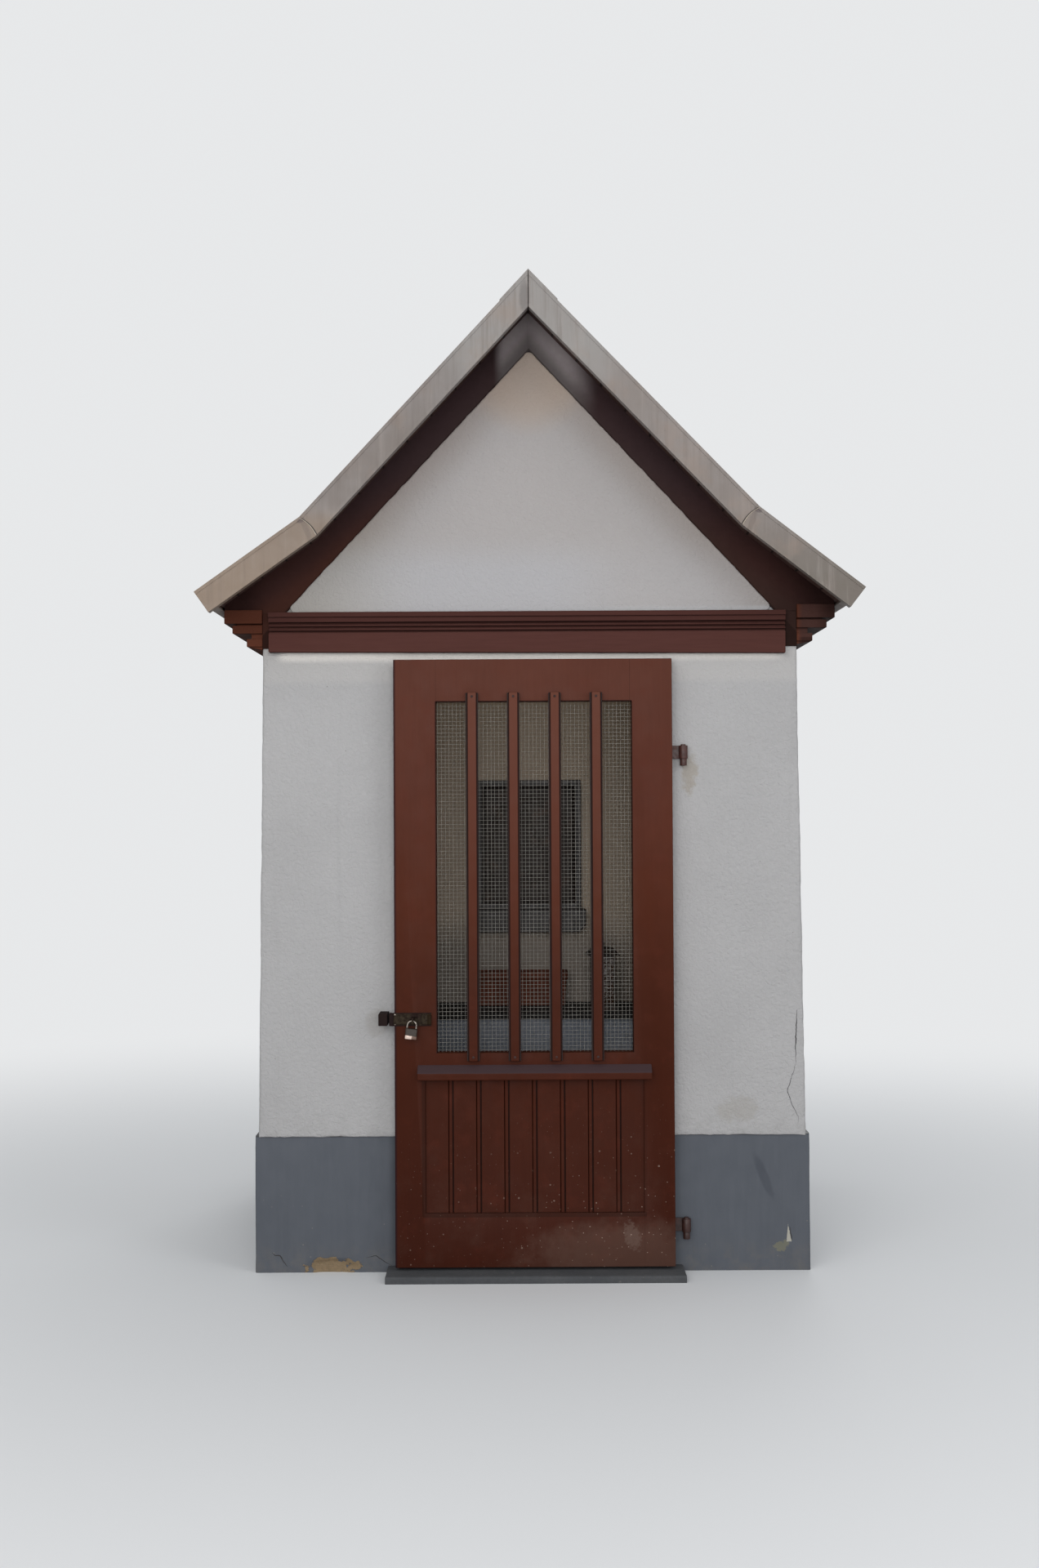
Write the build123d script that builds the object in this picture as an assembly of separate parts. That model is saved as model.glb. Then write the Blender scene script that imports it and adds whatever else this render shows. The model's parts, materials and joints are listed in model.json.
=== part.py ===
"""Wayside shrine: a small walk-in chapel of rendered masonry with a bell-cast roof.

Millimetres, +Z up. The origin is the middle of the footprint at ground level, and
the doorway faces -Y. X runs along the front wall, Y along the eaves.
"""
from build123d import *
import math
import os

os.makedirs("parts", exist_ok=True)

# Walls
building_depth = 1340.0
wall_thickness = 240.0
plinth_height = 437.0
plinth_setback = 6.0
plinth_side_lap = 12.0
wall_half_width = 879.0
wall_batter = 0.0116

# Doorway and floor
doorway_width = 800.0
doorway_height = 1900.0
doorway_offset = 8.0
lintel_height = 218.0
floor_thickness = 26.0
threshold_lap = 72.5
threshold_depth = 130.0
threshold_drop = 4.0
threshold_round = 8.0

# Roof, measured from the top of the walls and from the side walls' feet
ridge_rise = 1027.0
knee_rise = 268.0
right_knee_lift = 25.0
knee_inset = 171.0
eave_rise = 39.0
right_eave_lift = 4.0
eave_overhang = 154.0
verge_overhang = 250.0
roof_sheet_thickness = 4.0
roof_board_thickness = 36.0
verge_board_depth = 78.0
verge_board_thickness = 28.0
eave_board_thickness = 22.0
eave_board_depth = 50.0
mitre_gap = 1.0
seam_height = 20.0
seam_thickness = 7.0
seam_count = 3
seam_end_cut = 40.0
ridge_cap_wing = 130.0
ridge_cap_thickness = 3.0
ridge_beam_width = 90.0
ridge_beam_height = 140.0
purlin_width = 90.0
purlin_height = 110.0

# Gable trim
rake_board_thickness = 10.0
render_field_thickness = 14.0
render_field_margin = 85.0
render_field_shift = 2.0
render_corner_radius = 14.0

# Cornices over the front and back walls, from the foot up
cornice_left_inset = 41.0
cornice_right_inset = 58.0
cornice_board_height = 66.0
cornice_board_projection = 28.0
cornice_board_skew = 5.0
cornice_bead_count = 2
cornice_bead_radius = 3.5
cornice_bead_projection = 27.0
cornice_groove_height = 6.5
cornice_groove_projection = 14.0
cornice_upper_height = 16.0
cornice_upper_projection = 34.0
cornice_cap_height = 16.0
cornice_cap_projection = 42.0
corner_board_thickness = 8.0
corner_board_lift = 18.0

# Cornices under the eaves, from the foot up, with their steps measured from the side walls' feet
eave_cornice_foot = 10.0
eave_cornice_first_height = 25.0
eave_cornice_first_step = 32.0
eave_cornice_groove_height = 17.0
eave_cornice_groove_step = 18.0
eave_cornice_second_height = 26.0
eave_cornice_second_step = 77.0
eave_cornice_line_height = 5.0
eave_cornice_line_step = 65.0
eave_cornice_third_height = 44.0
eave_cornice_third_step = 102.0
eave_cornice_first_lap = 8.0
eave_cornice_second_lap = 15.0
eave_cornice_third_lap = 22.0
eave_cornice_left_rise = 10.0
eave_cornice_right_rise = 20.0

# Altar and what stands on it
altar_width = 1000.0
altar_depth = 330.0
altar_height = 685.0
altar_slab_thickness = 22.0
altar_slab_overhang = 20.0
relief_width = 404.0
relief_height = 498.0
relief_above_altar = 365.0
relief_frame_width = 30.0
relief_frame_thickness = 34.0
relief_frame_bevel = 10.0
relief_panel_thickness = 16.0
console_width = 436.0
console_height = 88.0
console_lip = 60.0
console_depth = 92.0
console_foot_width = 384.0
planter_offset = -36.0
planter_setback = 284.0
planter_width = 366.0
planter_depth = 122.0
planter_height = 128.0
planter_wall = 9.0
planter_taper = 10.0
soil_below_rim = 14.0
lantern_setback = 110.0
lantern_offset = 273.0
lantern_body_width = 90.0
lantern_base_width = 104.0
lantern_base_height = 16.0
lantern_body_height = 190.0
lantern_roof_width = 124.0
lantern_roof_height = 32.0
lantern_roof_knee_width = 84.0
lantern_roof_knee_height = 20.0
lantern_roof_tip_width = 10.0
lantern_knob_width = 14.0
lantern_spike_height = 6.0
lantern_post = 7.0
lantern_glass_thickness = 3.0

# Door leaf
door_side_lap = 44.0
door_top_lap = 62.0
door_floor_gap = 6.0
door_thickness = 50.0
door_wall_gap = 12.0
stile_width = 97.0
window_frame_left_width = 38.0
window_frame_right_width = 32.0
top_rail_height = 135.0
bottom_rail_height = 171.0
lower_panel_height = 425.0
middle_rail_height = 82.0
panel_recess = 9.0
panel_thickness = 30.0
panel_board_count = 8
panel_groove_width = 16.0
panel_groove_depth = 5.0
drip_rail_inset = 72.5
drip_rail_face = 22.0
drip_rail_height = 46.0
drip_rail_projection = 30.0
window_bar_count = 4
window_bar_width = 33.0
window_bar_thickness = 20.0
window_bar_pitch = 131.5
window_bar_shift = 4.0
window_bar_top_lap = 28.0
window_bar_foot_lap = 24.0
mesh_thickness = 2.0
mesh_setback = 26.0

# Hinges
hinge_axis_from_leaf = 39.0
upper_hinge_from_top = 298.0
lower_hinge_from_foot = 120.0
strap_height = 42.0
strap_thickness = 6.0
strap_tail = 90.0
eye_radius = 14.0
pin_radius = 8.0
pin_clearance = 0.1
pintle_collar_radius = 11.0
pintle_collar_height = 22.0
pintle_seat_gap = 0.3
pintle_pin_stub = 4.0
hinge_wall_clearance = 6.0

# Latch and padlock
latch_height = 786.0
latch_plate_length = 133.0
latch_overhang = 16.0
latch_plate_height = 42.0
latch_plate_thickness = 3.0
latch_bar_height = 28.0
latch_bar_thickness = 6.0
latch_bar_clearance = 0.5
guide_width = 12.0
guide_wall = 4.0
guide_inset = 3.0
grip_thickness = 7.0
grip_projection = 8.0
latch_throw = 20.0
latch_nose_gap = 6.0
keeper_gap = 22.0
keeper_width = 28.0
keeper_height = 37.0
keeper_lip = 8.0
keeper_mouth_clearance = 2.0
staple_from_edge = 59.0
staple_width = 6.0
staple_height = 15.0
staple_projection = 32.0
staple_hole_radius = 5.5
staple_hole_from_tip = 9.0
staple_slot_clearance = 1.0
shackle_wire_radius = 2.4
shackle_half_span = 14.2
shackle_leg = 10.0
shackle_rest_clearance = 1.0
padlock_width = 37.0
padlock_height = 33.0
padlock_thickness = 18.0
padlock_round = 4.0
padlock_lean = 8.0

# Places that follow from the sizes above
wall_front_y = -building_depth / 2
wall_inner_y = building_depth / 2 - wall_thickness
verge_y = building_depth / 2 + verge_overhang
inner_verge_y = verge_y - verge_board_thickness
inner_half_width = wall_half_width - wall_thickness
plinth_half_width = wall_half_width + plinth_side_lap
wall_top_z = doorway_height + lintel_height
ridge_z = wall_top_z + ridge_rise
knee_x, knee_z = wall_half_width - knee_inset, wall_top_z + knee_rise
eave_x, eave_z = wall_half_width + eave_overhang, wall_top_z + eave_rise
soffit_depth = roof_sheet_thickness + roof_board_thickness
cornice_left_x = cornice_left_inset - wall_half_width
cornice_right_x = wall_half_width - cornice_right_inset
cornice_beads_height = ((cornice_bead_count + 1) * cornice_groove_height
                        + cornice_bead_count * 2 * cornice_bead_radius)
cornice_board_top_z = wall_top_z - cornice_cap_height - cornice_upper_height - cornice_beads_height
cornice_foot_z = cornice_board_top_z - cornice_board_height
corner_board_foot_z = cornice_foot_z + corner_board_lift
doorway_left_x = doorway_offset - doorway_width / 2
doorway_right_x = doorway_offset + doorway_width / 2
door_left_x = doorway_left_x - door_side_lap
door_right_x = doorway_right_x + door_side_lap
door_bottom_z = floor_thickness + door_floor_gap
door_top_z = doorway_height + door_top_lap
door_back_y = wall_front_y - door_wall_gap
door_front_y = door_back_y - door_thickness
middle_rail_foot_z = door_bottom_z + bottom_rail_height + lower_panel_height
window_foot_z = middle_rail_foot_z + middle_rail_height
window_top_z = door_top_z - top_rail_height
window_left_x = door_left_x + stile_width + window_frame_left_width
window_right_x = door_right_x - stile_width - window_frame_right_width
altar_top_z = floor_thickness + altar_height + altar_slab_thickness
altar_front_y = wall_inner_y - altar_depth - altar_slab_overhang
relief_foot_z = altar_top_z + relief_above_altar


def box(low, high):
    """A box between two opposite corners."""
    size = [b - a for a, b in zip(low, high)]
    centre = [(a + b) / 2 for a, b in zip(low, high)]
    return Pos(*centre) * Box(*size)


def prism_y(outline, y_low, y_high):
    """An outline in the XZ plane, run along Y."""
    wire = Polyline([(x, y_low, z) for x, z in outline], close=True)
    return extrude(make_face(wire), amount=y_high - y_low, dir=(0, 1, 0))


def prism_x(outline, x_low, x_high):
    """An outline in the YZ plane, run along X."""
    wire = Polyline([(x_low, y, z) for y, z in outline], close=True)
    return extrude(make_face(wire), amount=x_high - x_low, dir=(1, 0, 0))


def prism_z(outline, z_low, z_high):
    """An outline in the XY plane, run along Z."""
    wire = Polyline([(x, y, z_low) for x, y in outline], close=True)
    return extrude(make_face(wire), amount=z_high - z_low, dir=(0, 0, 1))


def flipped(outline):
    """The same outline on the other side of the building's middle plane."""
    return [(-x, z) for x, z in reversed(outline)]


def both_sides(outline_of, y_low, y_high):
    """A prism on the right and one on the left, each with the outline that its roof side gives."""
    right = prism_y(outline_of(right_side), y_low, y_high)
    return [right, prism_y(flipped(outline_of(left_side)), y_low, y_high)]


def save(name, solids):
    """Write one named piece, or like pieces that share a node."""
    solids = solids if isinstance(solids, list) else [solids]
    shape = solids[0] if len(solids) == 1 else Compound(children=solids)
    export_step(shape, f"parts/{name}.step")


class RoofSide:
    """One side of the roof, drawn on the right: depths go down from the outer surface of its sheet."""

    def __init__(self, knee_height, eave_height):
        self.knee_z, self.eave_z = knee_height, eave_height
        self.upper_pitch = math.atan2(ridge_z - knee_height, knee_x)
        self.lower_pitch = math.atan2(knee_height - eave_height, eave_x - knee_x)

    def ridge(self, depth, gap=0.0):
        """The point of a layer beside the ridge."""
        return (gap, ridge_height(depth) - gap * self.upper_slope(depth))

    def knee(self, depth):
        """The point where the two pitches meet."""
        across = math.sin(self.upper_pitch) + math.sin(self.lower_pitch)
        down = math.cos(self.upper_pitch) + math.cos(self.lower_pitch)
        share = depth / (1 + math.cos(self.upper_pitch - self.lower_pitch))
        return (knee_x - across * share, self.knee_z - down * share)

    def eave(self, depth, cut=0.0):
        """The point at the eave's square end, cut back along the slope."""
        x = eave_x - depth * math.sin(self.lower_pitch) - cut * math.cos(self.lower_pitch)
        z = self.eave_z - depth * math.cos(self.lower_pitch) + cut * math.sin(self.lower_pitch)
        return (x, z)

    def upper_slope(self, depth):
        """Fall of a layer along the steep pitch, for each unit across."""
        x, z = self.knee(depth)
        return (ridge_height(depth) - z) / x

    def height(self, x, depth):
        """Height of a layer over a distance from the middle plane."""
        end_x, end_z = self.eave(depth)
        return max(ridge_height(depth) - x * self.upper_slope(depth),
                   end_z + (end_x - x) * math.tan(self.lower_pitch))

    def layer(self, outer, inner, gap=0.0, cut=0.0):
        """Section between two depths, from the ridge to the eave."""
        upper_edge = [self.ridge(outer, gap), self.knee(outer), self.eave(outer, cut)]
        lower_edge = [self.ridge(inner, gap), self.knee(inner), self.eave(inner, cut)]
        return upper_edge + lower_edge[::-1]

    def below_ridge(self, depth, length):
        """The point of a layer so far down the steep pitch."""
        x, z = self.ridge(depth)
        return (x + length * math.cos(self.upper_pitch), z - length * math.sin(self.upper_pitch))

    def wall_shoulder(self):
        """Where a side wall's outer face meets the underside of the roof boards."""
        z = wall_top_z
        for _ in range(4):
            z = self.height(wall_half(z), soffit_depth)
        return (wall_half(z), z)


def ridge_height(depth):
    """Height of a roof layer at the ridge, the same for both sides."""
    return ridge_z - depth / math.cos((left_side.upper_pitch + right_side.upper_pitch) / 2)


left_side = RoofSide(knee_z, eave_z)
right_side = RoofSide(knee_z + right_knee_lift, eave_z + right_eave_lift)


def wall_half(z):
    """Half the building's width at a height: the side walls lean in slightly."""
    return wall_half_width - (z - plinth_height) * wall_batter


def plinth_front():
    y = wall_front_y + plinth_setback
    left = box((-plinth_half_width, y, 0), (doorway_left_x, -wall_inner_y, plinth_height))
    right = box((doorway_right_x, y, 0), (plinth_half_width, -wall_inner_y, plinth_height))
    return [left, right]


def plinth_sides():
    section = [(inner_half_width, 0), (plinth_half_width, 0)]
    section += [(plinth_half_width, plinth_height), (inner_half_width, plinth_height)]
    return [prism_y(outline, -wall_inner_y, wall_inner_y) for outline in (section, flipped(section))]


def plinth_back():
    y = building_depth / 2 - plinth_setback
    return box((-plinth_half_width, wall_inner_y, 0), (plinth_half_width, y, plinth_height))


def wall_front():
    left = [(doorway_left_x, plinth_height), (doorway_left_x, wall_top_z)]
    left += [(-wall_half(wall_top_z), wall_top_z), (-wall_half_width, plinth_height)]
    right = [(doorway_right_x, plinth_height), (wall_half_width, plinth_height)]
    right += [(wall_half(wall_top_z), wall_top_z), (doorway_right_x, wall_top_z)]
    return [prism_y(section, wall_front_y, -wall_inner_y) for section in (left, right)]


def wall_over_door():
    low = (doorway_left_x, wall_front_y, doorway_height)
    return box(low, (doorway_right_x, -wall_inner_y, wall_top_z))


def wall_section(side):
    """Section of a side wall, up to the roof boards."""
    section = [(inner_half_width, plinth_height), (wall_half_width, plinth_height)]
    section += [side.wall_shoulder(), side.knee(soffit_depth)]
    section.append((inner_half_width, side.height(inner_half_width, soffit_depth)))
    return section


def wall_back():
    section = [(-wall_half_width, plinth_height), (wall_half_width, plinth_height)]
    section += [(wall_half(wall_top_z), wall_top_z), (-wall_half(wall_top_z), wall_top_z)]
    return prism_y(section, wall_inner_y, building_depth / 2)


def gable(y_low, y_high):
    right, left = [[(wall_half(wall_top_z), wall_top_z), side.wall_shoulder(), side.knee(soffit_depth)]
                   for side in (right_side, left_side)]
    section = right + [(0, ridge_height(soffit_depth))] + flipped(left)
    return prism_y(section, y_low, y_high)


def floor_slab():
    outline = [(-inner_half_width, wall_inner_y), (-inner_half_width, -wall_inner_y)]
    outline += [(doorway_left_x, -wall_inner_y), (doorway_left_x, wall_front_y)]
    outline += [(doorway_right_x, wall_front_y), (doorway_right_x, -wall_inner_y)]
    outline += [(inner_half_width, -wall_inner_y), (inner_half_width, wall_inner_y)]
    return prism_z(outline, 0, floor_thickness)


def threshold():
    low = (doorway_left_x - threshold_lap, wall_front_y - threshold_depth, 0)
    high = (doorway_right_x + threshold_lap, wall_front_y, floor_thickness - threshold_drop)
    step = box(low, high)
    front_edge = step.edges().filter_by(Axis.X).group_by(Axis.Z)[-1].sort_by(Axis.Y)[0]
    return fillet(front_edge, threshold_round)


def roof_boards():
    def section(side):
        return side.layer(roof_sheet_thickness, soffit_depth, mitre_gap, eave_board_thickness)

    return both_sides(section, -inner_verge_y, inner_verge_y)


def roof_sheets():
    """Sheet metal covering of both sides, with standing seams down the slopes."""
    def sheet(side):
        return side.layer(0, roof_sheet_thickness, mitre_gap)

    def seam(side):
        top = [side.below_ridge(-seam_height, ridge_cap_wing), side.knee(-seam_height)]
        ends = [side.eave(-seam_height, seam_end_cut), side.eave(0, seam_end_cut)]
        return top + ends + [side.knee(0), side.below_ridge(0, ridge_cap_wing)]

    right, left = both_sides(sheet, -verge_y, verge_y)
    pitch = 2 * verge_y / (seam_count + 1)
    for index in range(seam_count):
        y = -verge_y + pitch * (index + 1)
        right_seam, left_seam = both_sides(seam, y - seam_thickness / 2, y + seam_thickness / 2)
        right, left = right + right_seam, left + left_seam
    return right, left


def ridge_cap():
    """A folded strip over the ridge, as thick as its sheet."""
    right, left = [[side.below_ridge(depth, ridge_cap_wing) for depth in (-ridge_cap_thickness, 0)]
                   for side in (right_side, left_side)]
    top, under = (0, ridge_height(-ridge_cap_thickness)), (0, ridge_height(0))
    return prism_y([top] + right + [under] + flipped(left), -verge_y, verge_y)


def verge(y_low, y_high):
    def section(side):
        return side.layer(roof_sheet_thickness, verge_board_depth, mitre_gap)

    return both_sides(section, y_low, y_high)


def eave_boards():
    def section(side):
        outer, inner = roof_sheet_thickness, eave_board_depth
        return [side.eave(outer, eave_board_thickness), side.eave(outer),
                side.eave(inner), side.eave(inner, eave_board_thickness)]

    return both_sides(section, -inner_verge_y, inner_verge_y)


def ridge_beam():
    half = ridge_beam_width / 2
    top = ridge_height(soffit_depth)
    foot = top - ridge_beam_height
    section = [(-half, left_side.height(half, soffit_depth)), (0, top)]
    section += [(half, right_side.height(half, soffit_depth)), (half, foot), (-half, foot)]
    return prism_y(section, -wall_inner_y, wall_inner_y)


def purlins():
    """A timber under each roof side, halfway between the ridge and the wall."""
    inner = inner_half_width / 2 - purlin_width / 2
    outer = inner + purlin_width

    def section(side):
        foot = side.height(outer, soffit_depth) - purlin_height
        return [(inner, foot), (outer, foot), (outer, side.height(outer, soffit_depth)),
                (inner, side.height(inner, soffit_depth))]

    return both_sides(section, -wall_inner_y, wall_inner_y)


def field_corner():
    """Half the width of the pale field at its foot, its top, and its slope: that of the left side."""
    top_z, slope = ridge_height(soffit_depth + render_field_margin), math.tan(left_side.upper_pitch)
    return (top_z - wall_top_z) / slope, top_z, slope


def render_field(y_low, y_high):
    """The pale triangle of render on a gable, slightly off the middle."""
    half, top_z, _ = field_corner()
    outline = [(-half, wall_top_z), (half, wall_top_z), (0, top_z)]
    field = prism_y([(x + render_field_shift, z) for x, z in outline], y_low, y_high)
    return [fillet(field.edges().filter_by(Axis.Y), render_corner_radius)]


def rake_board(side, eave_cornice_top, shift):
    """Outline of the painted board on one side: beside the field, and out over the eave's end."""
    tip_x = wall_half_width + eave_cornice_third_step
    half, top_z, slope = field_corner()
    section = [side.ridge(soffit_depth, mitre_gap), side.knee(soffit_depth)]
    section += [(tip_x, side.height(tip_x, soffit_depth)), (tip_x, eave_cornice_top)]
    section += [(wall_half(eave_cornice_top), eave_cornice_top), (wall_half(wall_top_z), wall_top_z)]
    return section + [(half + shift, wall_top_z), (mitre_gap, top_z + (shift - mitre_gap) * slope)]


def rake_boards(y_low, y_high):
    right = rake_board(right_side, wall_top_z + eave_cornice_right_rise, render_field_shift)
    left = rake_board(left_side, wall_top_z + eave_cornice_left_rise, -render_field_shift)
    return [prism_y(right, y_low, y_high), prism_y(flipped(left), y_low, y_high)]


def on_both_gables(maker, thickness):
    """The same trim on the front of the building and on its back."""
    front = maker(wall_front_y - thickness, wall_front_y)
    back = maker(-wall_front_y, -wall_front_y + thickness)
    return front + back


def cornice(direction):
    """Moulded cornice over the front or the back wall: board, beads between grooves, stepped cap."""
    face = direction * building_depth / 2

    def at(projection, z):
        return (cornice_left_x, face + direction * projection, z)

    neck, root = cornice_groove_projection, cornice_bead_projection - cornice_bead_radius
    z = cornice_board_top_z
    edges = Line(at(0, z), at(neck, z)).edges()
    for _ in range(cornice_bead_count):
        foot = z + cornice_groove_height
        middle, top = foot + cornice_bead_radius, foot + 2 * cornice_bead_radius
        edges += Polyline([at(neck, z), at(neck, foot), at(root, foot)]).edges()
        edges += ThreePointArc(at(root, foot), at(cornice_bead_projection, middle), at(root, top)).edges()
        edges += Line(at(root, top), at(neck, top)).edges()
        z = top
    upper_foot = z + cornice_groove_height
    cap_foot = upper_foot + cornice_upper_height
    edges += Polyline([at(neck, z), at(neck, upper_foot), at(cornice_upper_projection, upper_foot),
                       at(cornice_upper_projection, cap_foot), at(cornice_cap_projection, cap_foot),
                       at(cornice_cap_projection, wall_top_z), at(0, wall_top_z),
                       at(0, cornice_board_top_z)]).edges()
    mouldings = extrude(make_face(edges), amount=cornice_right_x - cornice_left_x, dir=(1, 0, 0))
    board = [(cornice_left_x, cornice_foot_z + cornice_board_skew)]
    board += [(cornice_right_x, cornice_foot_z - cornice_board_skew)]
    board += [(cornice_right_x, cornice_board_top_z), (cornice_left_x, cornice_board_top_z)]
    return mouldings + prism_y(board, *sorted((face, face + direction * cornice_board_projection)))


def corner_boards(y_low, y_high):
    """Short painted boards beside the ends of a cornice."""
    foot_z = corner_board_foot_z
    right = [(cornice_right_x, foot_z), (wall_half(foot_z), foot_z)]
    right += [(wall_half(wall_top_z), wall_top_z), (cornice_right_x, wall_top_z)]
    left = [(cornice_left_x, wall_top_z), (-wall_half(wall_top_z), wall_top_z)]
    left += [(-wall_half(foot_z), foot_z), (cornice_left_x, foot_z)]
    return [prism_y(right, y_low, y_high), prism_y(left, y_low, y_high)]


def eave_cornice(top):
    """Stepped cornice under the right eave, whose members also return over its ends."""
    members = [(eave_cornice_third_height, eave_cornice_third_step, eave_cornice_third_lap),
               (eave_cornice_line_height, eave_cornice_line_step, 0),
               (eave_cornice_second_height, eave_cornice_second_step, eave_cornice_second_lap),
               (eave_cornice_groove_height, eave_cornice_groove_step, 0),
               (eave_cornice_first_height, eave_cornice_first_step, eave_cornice_first_lap)]
    reach = building_depth / 2
    cornice_solid = None
    for height, step, lap in members:
        foot, edge = top - height, wall_half_width + step
        section = [(wall_half(foot), foot), (edge, foot), (edge, top), (wall_half(top), top)]
        member = prism_y(section, -reach - lap, reach + lap)
        cornice_solid = member if cornice_solid is None else cornice_solid + member
        top = foot
    cove = [(wall_half(top - eave_cornice_foot), top - eave_cornice_foot), (edge, top), (wall_half(top), top)]
    return cornice_solid + prism_y(cove, -reach, reach)


def eave_cornices():
    right = eave_cornice(wall_top_z + eave_cornice_right_rise)
    left = eave_cornice(wall_top_z + eave_cornice_left_rise)
    return [right, mirror(left, about=Plane.YZ)]


def altar_block():
    low = (-altar_width / 2, wall_inner_y - altar_depth, floor_thickness)
    return box(low, (altar_width / 2, wall_inner_y, altar_top_z - altar_slab_thickness))


def altar_slab():
    half = altar_width / 2 + altar_slab_overhang
    low = (-half, wall_inner_y - altar_depth - altar_slab_overhang, altar_top_z - altar_slab_thickness)
    return box(low, (half, wall_inner_y, altar_top_z))


def relief_frame():
    half = relief_width / 2
    top = relief_foot_z + relief_height
    front = wall_inner_y - relief_frame_thickness
    frame = box((-half, front, relief_foot_z), (half, wall_inner_y, top))
    inset = relief_frame_width
    frame -= box((-half + inset, front, relief_foot_z + inset), (half - inset, wall_inner_y, top - inset))
    front_face = frame.faces().sort_by(Axis.Y)[0]
    return chamfer(front_face.inner_wires()[0].edges(), relief_frame_bevel)


def relief_panel():
    half = relief_width / 2 - relief_frame_width
    low = (-half, wall_inner_y - relief_panel_thickness, relief_foot_z + relief_frame_width)
    high = (half, wall_inner_y, relief_foot_z + relief_height - relief_frame_width)
    return box(low, high)


def relief_console():
    """Bracket shelf under the relief, with sides that taper down."""
    top, half, foot = relief_foot_z, console_width / 2, console_foot_width / 2
    lip = top - console_lip
    section = [(-half, lip), (-half, top), (half, top), (half, lip), (foot, top - console_height)]
    section += [(-foot, top - console_height)]
    return prism_y(section, wall_inner_y - console_depth, wall_inner_y)


def tapered_tub(width, depth, height, taper):
    """A box that is narrower at its foot, standing on z = 0."""
    foot = Rectangle(width - 2 * taper, depth - 2 * taper)
    return loft([foot, Pos(0, 0, height) * Rectangle(width, depth)])


def planter_parts():
    """The open planter box and the soil that fills it to just below the rim."""
    outer = tapered_tub(planter_width, planter_depth, planter_height, planter_taper)
    hollow = tapered_tub(planter_width - 2 * planter_wall, planter_depth - 2 * planter_wall,
                         planter_height, planter_taper)
    slab = Box(planter_width, planter_depth, planter_height, align=(Align.CENTER, Align.CENTER, Align.MIN))
    hollow = hollow & (Pos(0, 0, planter_wall) * slab)
    place = Pos(planter_offset, altar_front_y + planter_setback, altar_top_z)
    return place * (outer - hollow), place * (hollow - Pos(0, 0, planter_height - soil_below_rim) * slab)


def square_stack(levels):
    """A solid through squares, each given by its height and width."""
    parts = []
    for (low, foot_width), (high, top_width) in zip(levels, levels[1:]):
        taper = math.degrees(math.atan2((foot_width - top_width) / 2, high - low))
        foot = Pos(0, 0, low) * Rectangle(foot_width, foot_width)
        parts.append(extrude(foot, amount=high - low, taper=taper))
    return parts[0].fuse(*parts[1:])


def hollow_square(width, wall, low, high):
    """A square tube between two heights."""
    tube = Rectangle(width, width) - Rectangle(width - 2 * wall, width - 2 * wall)
    return Pos(0, 0, low) * extrude(tube, amount=high - low)


def lantern_parts():
    """A small lantern: posts on a base, panes between them, and a flared roof with a knob."""
    top = lantern_base_height + lantern_body_height
    pane_low, pane_high = lantern_base_height + lantern_post, top - lantern_post
    half, opening = lantern_body_width / 2, lantern_body_width / 2 - lantern_post
    frame = box((-half, -half, lantern_base_height), (half, half, top))
    frame -= box((-opening, -half, pane_low), (opening, half, pane_high))
    frame -= box((-half, -opening, pane_low), (half, opening, pane_high))
    base = lantern_base_width / 2
    frame += box((-base, -base, 0), (base, base, lantern_base_height))
    glass = hollow_square(2 * opening, lantern_glass_thickness, pane_low, pane_high)
    tip = top + lantern_roof_height
    knob = tip + lantern_knob_width / 2
    roof = square_stack([(top, lantern_roof_width), (top + lantern_roof_knee_height, lantern_roof_knee_width),
                         (tip, lantern_roof_tip_width), (knob, lantern_knob_width),
                         (tip + lantern_knob_width, lantern_roof_tip_width),
                         (tip + lantern_knob_width + lantern_spike_height, lantern_glass_thickness)])
    place = Pos(lantern_offset, altar_front_y + lantern_setback, altar_top_z)
    return place * frame, place * glass, place * roof


def door_stiles():
    """Uprights of the leaf, wider beside the window than beside the lower panel."""
    stiles = []
    for edge_x, panel_x, window_x in ((door_left_x, door_left_x + stile_width, window_left_x),
                                      (door_right_x, door_right_x - stile_width, window_right_x)):
        outline = [(edge_x, door_bottom_z), (panel_x, door_bottom_z), (panel_x, window_foot_z)]
        outline += [(window_x, window_foot_z), (window_x, door_top_z), (edge_x, door_top_z)]
        stiles.append(prism_y(outline, door_front_y, door_back_y))
    return stiles


def door_rails():
    left, right = door_left_x + stile_width, door_right_x - stile_width
    top = box((window_left_x, door_front_y, window_top_z), (window_right_x, door_back_y, door_top_z))
    middle = box((left, door_front_y, middle_rail_foot_z), (right, door_back_y, window_foot_z))
    bottom = box((left, door_front_y, door_bottom_z),
                 (right, door_back_y, door_bottom_z + bottom_rail_height))
    return [top, middle, bottom]


def door_panel():
    """Boards of the lower panel, with a sunk strip between each pair."""
    left, right = door_left_x + stile_width, door_right_x - stile_width
    front = door_front_y + panel_recess
    panel = box((left, front, door_bottom_z + bottom_rail_height),
                (right, front + panel_thickness, middle_rail_foot_z))
    pitch = (right - left + panel_groove_width) / panel_board_count
    for index in range(1, panel_board_count):
        x = left + pitch * index - panel_groove_width
        low = (x, front, door_bottom_z + bottom_rail_height)
        panel -= box(low, (x + panel_groove_width, front + panel_groove_depth, middle_rail_foot_z))
    return panel


def door_drip_rail():
    """Weather bar under the window, with a sloped top."""
    foot = middle_rail_foot_z
    tip = door_front_y - drip_rail_projection
    section = [(door_front_y, foot), (tip, foot), (tip, foot + drip_rail_face)]
    section += [(door_front_y, foot + drip_rail_height)]
    return prism_x(section, door_left_x + drip_rail_inset, door_right_x - drip_rail_inset)


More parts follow.
